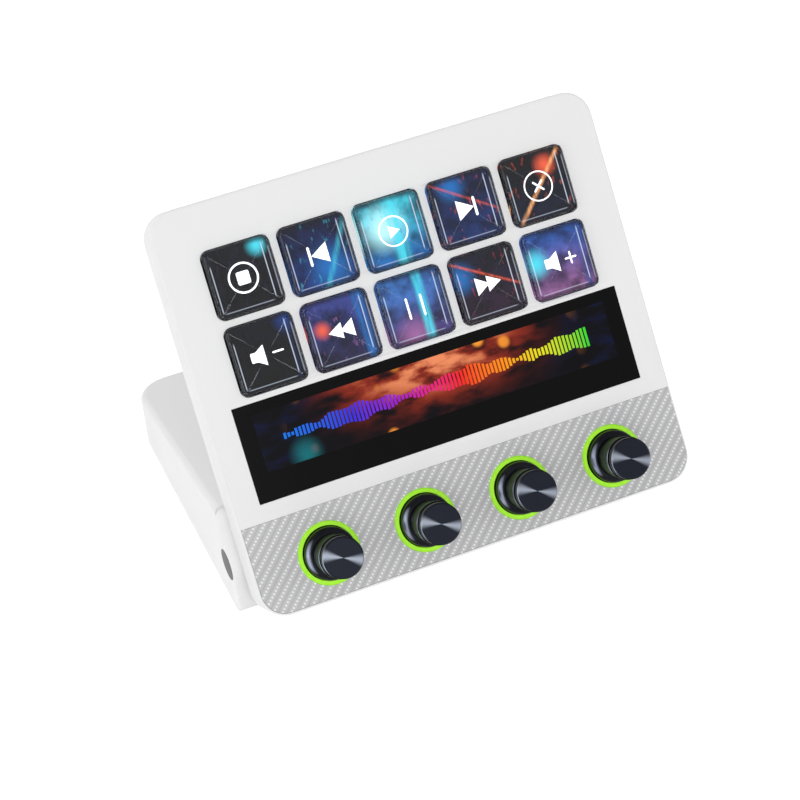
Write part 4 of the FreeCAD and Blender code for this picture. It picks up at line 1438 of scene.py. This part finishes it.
@dataclass
class Knobs:
    """The four spun metal knobs. A level is a height over the head's face."""

    nodes: dict[str, Any]
    face: Face
    effects: Effects
    steps: int = 96
    bore: float = 4.4
    bore_top: float = 1.3
    bottom: float = 0.7
    skirt: float = 7.6
    foot_bevel: float = 0.2
    shoulder_level: float = 1.9
    shoulder_rise: float = 1.7
    shoulder_in: float = 1.8
    shoulder_steps: int = 8
    neck: float = 5.8
    neck_level: float = 11.5
    collar: float = 6.25
    collar_bevel: float = 0.12
    collar_levels: tuple[float, float, float, float] = (11.6, 11.75, 12.25, 12.4)
    groove: float = 5.55
    cap: float = 5.95
    cap_level: float = 12.9
    cap_bevel: float = 0.1
    top: float = 15.5
    edge_drop: float = 0.5
    rim_drop: float = 0.26
    rim_in: float = 0.16
    face_in: float = 0.35
    face_rings: tuple[float, ...] = (0.9, 1.2, 1.2, 1.1, 0.8)
    weld: float = 0.002
    smooth_below: float = 30.0

    def outline(self) -> list[tuple[float, float]]:
        """Draws the turned profile from the bore to the cap's face.

        Returns:
            Its points as radius and level.
        """
        angles = [math.pi / 2 * step / self.shoulder_steps for step in range(self.shoulder_steps + 1)]
        foot = [(self.bore, self.bore_top), (self.bore, self.bottom),
                (self.skirt - self.foot_bevel, self.bottom), (self.skirt, self.bottom + self.foot_bevel)]
        shoulder = [(self.skirt - self.shoulder_in * (1 - math.cos(angle)),
                     self.shoulder_level + self.shoulder_rise * math.sin(angle)) for angle in angles]
        slim = self.collar - self.collar_bevel
        collar = list(zip((slim, self.collar, self.collar, slim), self.collar_levels))
        cap = [(self.groove, self.collar_levels[-1]), (self.groove, self.cap_level),
               (self.cap - self.cap_bevel, self.cap_level), (self.cap, self.cap_level + self.cap_bevel),
               (self.cap, self.top - self.edge_drop), (self.cap - self.rim_in, self.top - self.rim_drop)]
        return foot + shoulder + [(self.neck, self.neck_level)] + collar + cap

    def turned(self) -> Thing:
        """Turns the profile round z as on a lathe.

        Returns:
            The knob's body at the origin, open where its face goes.
        """
        points = self.outline()
        deselect()
        bpy.ops.mesh.primitive_plane_add(size=1)
        body = bpy.context.object
        with editing(body):
            bpy.ops.mesh.select_all(action="SELECT")
            bpy.ops.mesh.merge(type="CENTER")
            mesh = bmesh.from_edit_mesh(body.data)
            start = mesh.verts[:][0]
            start.co = (points[0][0], 0, points[0][1])
            start.select_set(True)
            bmesh.update_edit_mesh(body.data)
            for (radius, level), (next_radius, next_level) in zip(points, points[1:]):
                move = (next_radius - radius, 0, next_level - level)
                bpy.ops.mesh.extrude_vertices_move(TRANSFORM_OT_translate={"value": move})
            bpy.ops.mesh.select_all(action="SELECT")
            bpy.ops.mesh.spin(steps=self.steps, angle=2 * math.pi, center=(0, 0, 0), axis=(0, 0, 1))
            bpy.ops.mesh.select_all(action="SELECT")
            bpy.ops.mesh.remove_doubles(threshold=self.weld)
            pick(body, edges=lambda edge: edge.is_boundary and edge.verts[0].co.z < self.bore_top + 0.1)
            bpy.ops.mesh.fill()
            bpy.ops.mesh.select_all(action="SELECT")
            bpy.ops.mesh.normals_make_consistent(inside=False)
        return body

    def turned_face(self) -> Thing:
        """Makes the cap's face as rings of quads, with a map that runs round the turning marks.

        Returns:
            The face at the origin.
        """
        deselect()
        bpy.ops.mesh.primitive_circle_add(vertices=self.steps, radius=self.cap - self.rim_in,
                                          fill_type="NGON", location=(0, 0, self.top - self.rim_drop))
        face = settle(bpy.context.object)
        with editing(face):
            bpy.ops.mesh.select_all(action="SELECT")
            bpy.ops.mesh.inset(thickness=self.face_in, depth=self.rim_drop)
            for step in self.face_rings:
                bpy.ops.mesh.inset(thickness=step)
            bpy.ops.mesh.poke()
        layer = face.data.uv_layers.new(name="turning")
        for side in face.data.polygons:
            middle = math.atan2(side.center.y, side.center.x)
            for loop in side.loop_indices:
                co = face.data.vertices[face.data.loops[loop].vertex_index].co
                radius = math.hypot(co.x, co.y)
                angle = math.atan2(co.y, co.x) if radius > 0.05 else middle
                turn = middle + (angle - middle + math.pi) % (2 * math.pi) - math.pi
                layer.data[loop].uv = (turn / (2 * math.pi), radius / self.cap)
        return face

    def build(self) -> None:
        """Makes the knobs and places each over its own node."""
        # The second colour of each knob finish is its painted highlight colour
        side = SpunMetal("knob_side", srgb(30, 31, 35), srgb(150, 158, 178), roughness=0.36)
        top = SpunMetal("knob_face", srgb(37, 40, 48), srgb(150, 157, 170), roughness=0.34, spun=True)
        body, face = self.turned(), self.turned_face()
        for piece, finish in ((body, side), (face, top)):
            piece.data.materials.append(finish.build(self.face, self.effects))
        knob = join([body, face])
        with editing(knob):
            bpy.ops.mesh.select_all(action="SELECT")
            bpy.ops.mesh.remove_doubles(threshold=self.weld)
            bpy.ops.mesh.normals_make_consistent(inside=False)
        smooth(knob, self.smooth_below)
        for number in range(1, 5):
            centre = self.face.centre(self.nodes[f"knob_{number}"])
            piece = duplicate(knob)
            piece.data.transform(self.face.matrix() @ Matrix.Translation(centre) @ Matrix.Scale(MM, 4))
            hand_over(piece, f"knob_{number}_turned", f"knob_body_{number}", [],
                      [f"knob_{number}"])
        bpy.data.objects.remove(knob)


@dataclass
class Casing:
    """The white shells, the trim and the rings, and every node that keeps its own shape."""

    frame: dict[str, Any]
    face: Face
    effects: Effects
    window_rise: float = 2.35
    skinned: tuple[str, ...] = ("front_cover", "rear_cover", "base_shell", "hinge_cap_left",
                                "hinge_cap_right", "light_ring_1", "light_ring_2", "light_ring_3",
                                "light_ring_4")

    def finishes(self) -> dict[str, Finish]:
        """Builds one material for each of the record's slots.

        Returns:
            The materials by slot name.
        """
        plain = (
            Moulding("white_shell", srgb(240, 240, 240), 0.48, mottle=0.01, grain=6.0, bump_mm=0.01),
            Moulding("hinge_dark", srgb(30, 30, 32), 0.5, mottle=0.05),
            Moulding("rubber_grey", srgb(52, 52, 54), 0.8, mottle=0.08, grain=3.0, bump_mm=0.03),
            Moulding("screw_steel", srgb(176, 176, 178), 0.32, mottle=0.05, metallic=1.0, bump_mm=0.004),
            Moulding("board_green", srgb(26, 92, 58), 0.35, mottle=0.08, coat=0.4),
            Moulding("chip_black", srgb(30, 30, 32), 0.55, mottle=0.06),
            Moulding("lamp_white", srgb(238, 238, 226), 0.2, coat=0.5),
            Moulding("display_dark", srgb(14, 15, 20), 0.2, coat=0.6),
            Moulding("flex_amber", srgb(190, 124, 40), 0.3, mottle=0.06, coat=0.3),
        )
        made = {finish.name: finish.build(self.effects) for finish in plain}
        made["weave_trim"] = WovenTrim().build(self.face, self.effects)
        made["ring_green"] = LitRing().build(self.face)
        low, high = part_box("strip_glass")
        middle = self.face.flat((low + high) / 2)
        window = (middle.x, middle.y + self.window_rise * MM, 0)
        made["strip_black_glass"] = StripPicture().build(self.face, window)
        return made

    def build(self) -> None:
        """Dresses every node and gives the visible shells a smooth skin."""
        finishes = self.finishes()
        bodies = self.frame["record"]["behaviour"]["bodies"]
        home = {node: body for body, nodes in bodies.items() for node in nodes}
        for entry in self.frame["record"]["subparts"]:
            node, slot = entry["node"], entry["material_slot"]
            if slot not in finishes:
                continue
            if node in self.skinned:
                smooth_copy(self.frame, node, home[node], finishes[slot])
                continue
            thing = self.frame["nodes"][node]
            thing.data.materials.clear()
            thing.data.materials.append(finishes[slot])
            LOG.info("node %s wears %s", node, slot)


@dataclass(frozen=True)
class Lamp:
    """One soft square lamp: its name, place and side in metres, and its power in watts."""

    name: str
    place: tuple[float, float, float]
    side: float
    power: float

    def build(self, aim: Vector) -> None:
        """Adds the lamp, facing a point.

        Args:
            aim: The point in metres.
        """
        light = bpy.data.lights.new(self.name, "AREA")
        light.size = self.side
        light.energy = self.power
        lamp = bpy.data.objects.new(self.name, light)
        turn = (aim - Vector(self.place)).to_track_quat("-Z", "Y").to_matrix().to_4x4()
        lamp.matrix_world = Matrix.Translation(self.place) @ turn
        bpy.context.scene.collection.objects.link(lamp)


@dataclass(frozen=True)
class Studio:
    """The pale floor, the lamps and the camera at the photograph's viewing angle.

    The aim and the distance are in millimetres, angles in degrees and the lamps' aim in metres.
    """

    aim: tuple[float, float, float] = (-6.85, -8.23, 38.41)
    distance: float = 734.2
    azimuth: float = 19.485
    elevation: float = 40.909
    roll: float = -5.195
    focal: float = 113.98
    sensor: float = 36.0
    floor_size: float = 6.0
    floor_drop: float = 0.05
    floor_glow: float = 0.62
    surround: float = 0.55
    lamp_aim: tuple[float, float, float] = (0.0, 0.0, 0.05)
    lamps: tuple[Lamp, ...] = (
        Lamp("front_lamp", (-0.25, -1.3, 0.75), 0.9, 6.0),
        Lamp("left_lamp", (-1.2, -0.3, 0.45), 0.7, 2.3),
        Lamp("right_lamp", (1.1, -0.7, 0.5), 0.7, 1.8),
        Lamp("rear_lamp", (-0.5, 0.9, 1.1), 0.7, 3.8),
    )

    def camera(self) -> None:
        """Sets the camera on its line of sight, rolled as the photograph is."""
        azimuth, elevation, roll = map(math.radians, (self.azimuth, self.elevation, self.roll))
        ahead = Vector((math.sin(azimuth) * math.cos(elevation), math.cos(azimuth) * math.cos(elevation),
                        -math.sin(elevation)))
        right = ahead.cross(Vector((0, 0, 1))).normalized()
        up = right.cross(ahead)
        tilted_right = right * math.cos(roll) + up * math.sin(roll)
        tilted_up = up * math.cos(roll) - right * math.sin(roll)
        lens = bpy.data.cameras.new("camera")
        lens.lens = self.focal
        lens.sensor_width = self.sensor
        lens.clip_start = 0.01
        camera = bpy.data.objects.new("camera", lens)
        turn = Matrix((tilted_right, tilted_up, -ahead)).transposed().to_4x4()
        place = (Vector(self.aim) - ahead * self.distance) * MM
        camera.matrix_world = Matrix.Translation(place) @ turn
        bpy.context.scene.collection.objects.link(camera)
        bpy.context.scene.camera = camera

    def floor(self) -> None:
        """Lays the floor, white to the camera but shaded by the part."""
        deselect()
        bpy.ops.mesh.primitive_plane_add(size=self.floor_size, location=(0, 0, -self.floor_drop * MM))
        floor = settle(bpy.context.object)
        floor.name = "floor"
        material, graph, shader = new_material("floor_white")
        cloud = graph.noise(graph.place(), 0.01, detail=1.0)
        graph.fill(shader, Base_Color=graph.blend(cloud, srgb(244, 244, 244), srgb(248, 248, 248)),
                   Roughness=0.9, Specular_IOR_Level=0.0, Emission_Color=WHITE,
                   Emission_Strength=graph.product(graph.seen(), self.floor_glow))
        floor.data.materials.append(material)

    def world(self) -> None:
        """Makes the surroundings white to the camera and a soft grey to the part."""
        world = bpy.data.worlds.new("studio")
        world.use_nodes = True
        graph = Graph(world.node_tree)
        strength = graph.math("MULTIPLY_ADD", graph.seen(), 1 - self.surround, self.surround)
        graph.fill(world.node_tree.nodes["Background"], Color=WHITE, Strength=strength)
        bpy.context.scene.world = world

    def build(self) -> None:
        """Sets up the whole studio."""
        self.camera()
        self.floor()
        self.world()
        for lamp in self.lamps:
            lamp.build(Vector(self.lamp_aim))
        bpy.context.scene.view_settings.view_transform = "Standard"


def main() -> None:
    """Loads the part, dresses it and sets the studio round it."""
    logging.basicConfig(level=logging.INFO, format="%(message)s")
    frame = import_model()
    nodes = frame["nodes"]
    face = Face.from_frame(frame)
    effects = Effects()
    for assembly in (Casing(frame, face, effects), Keys(nodes, face, effects),
                     Knobs(nodes, face, effects), Studio()):
        LOG.info("building %s", type(assembly).__name__)
        assembly.build()


if __name__ == "__main__":
    main()
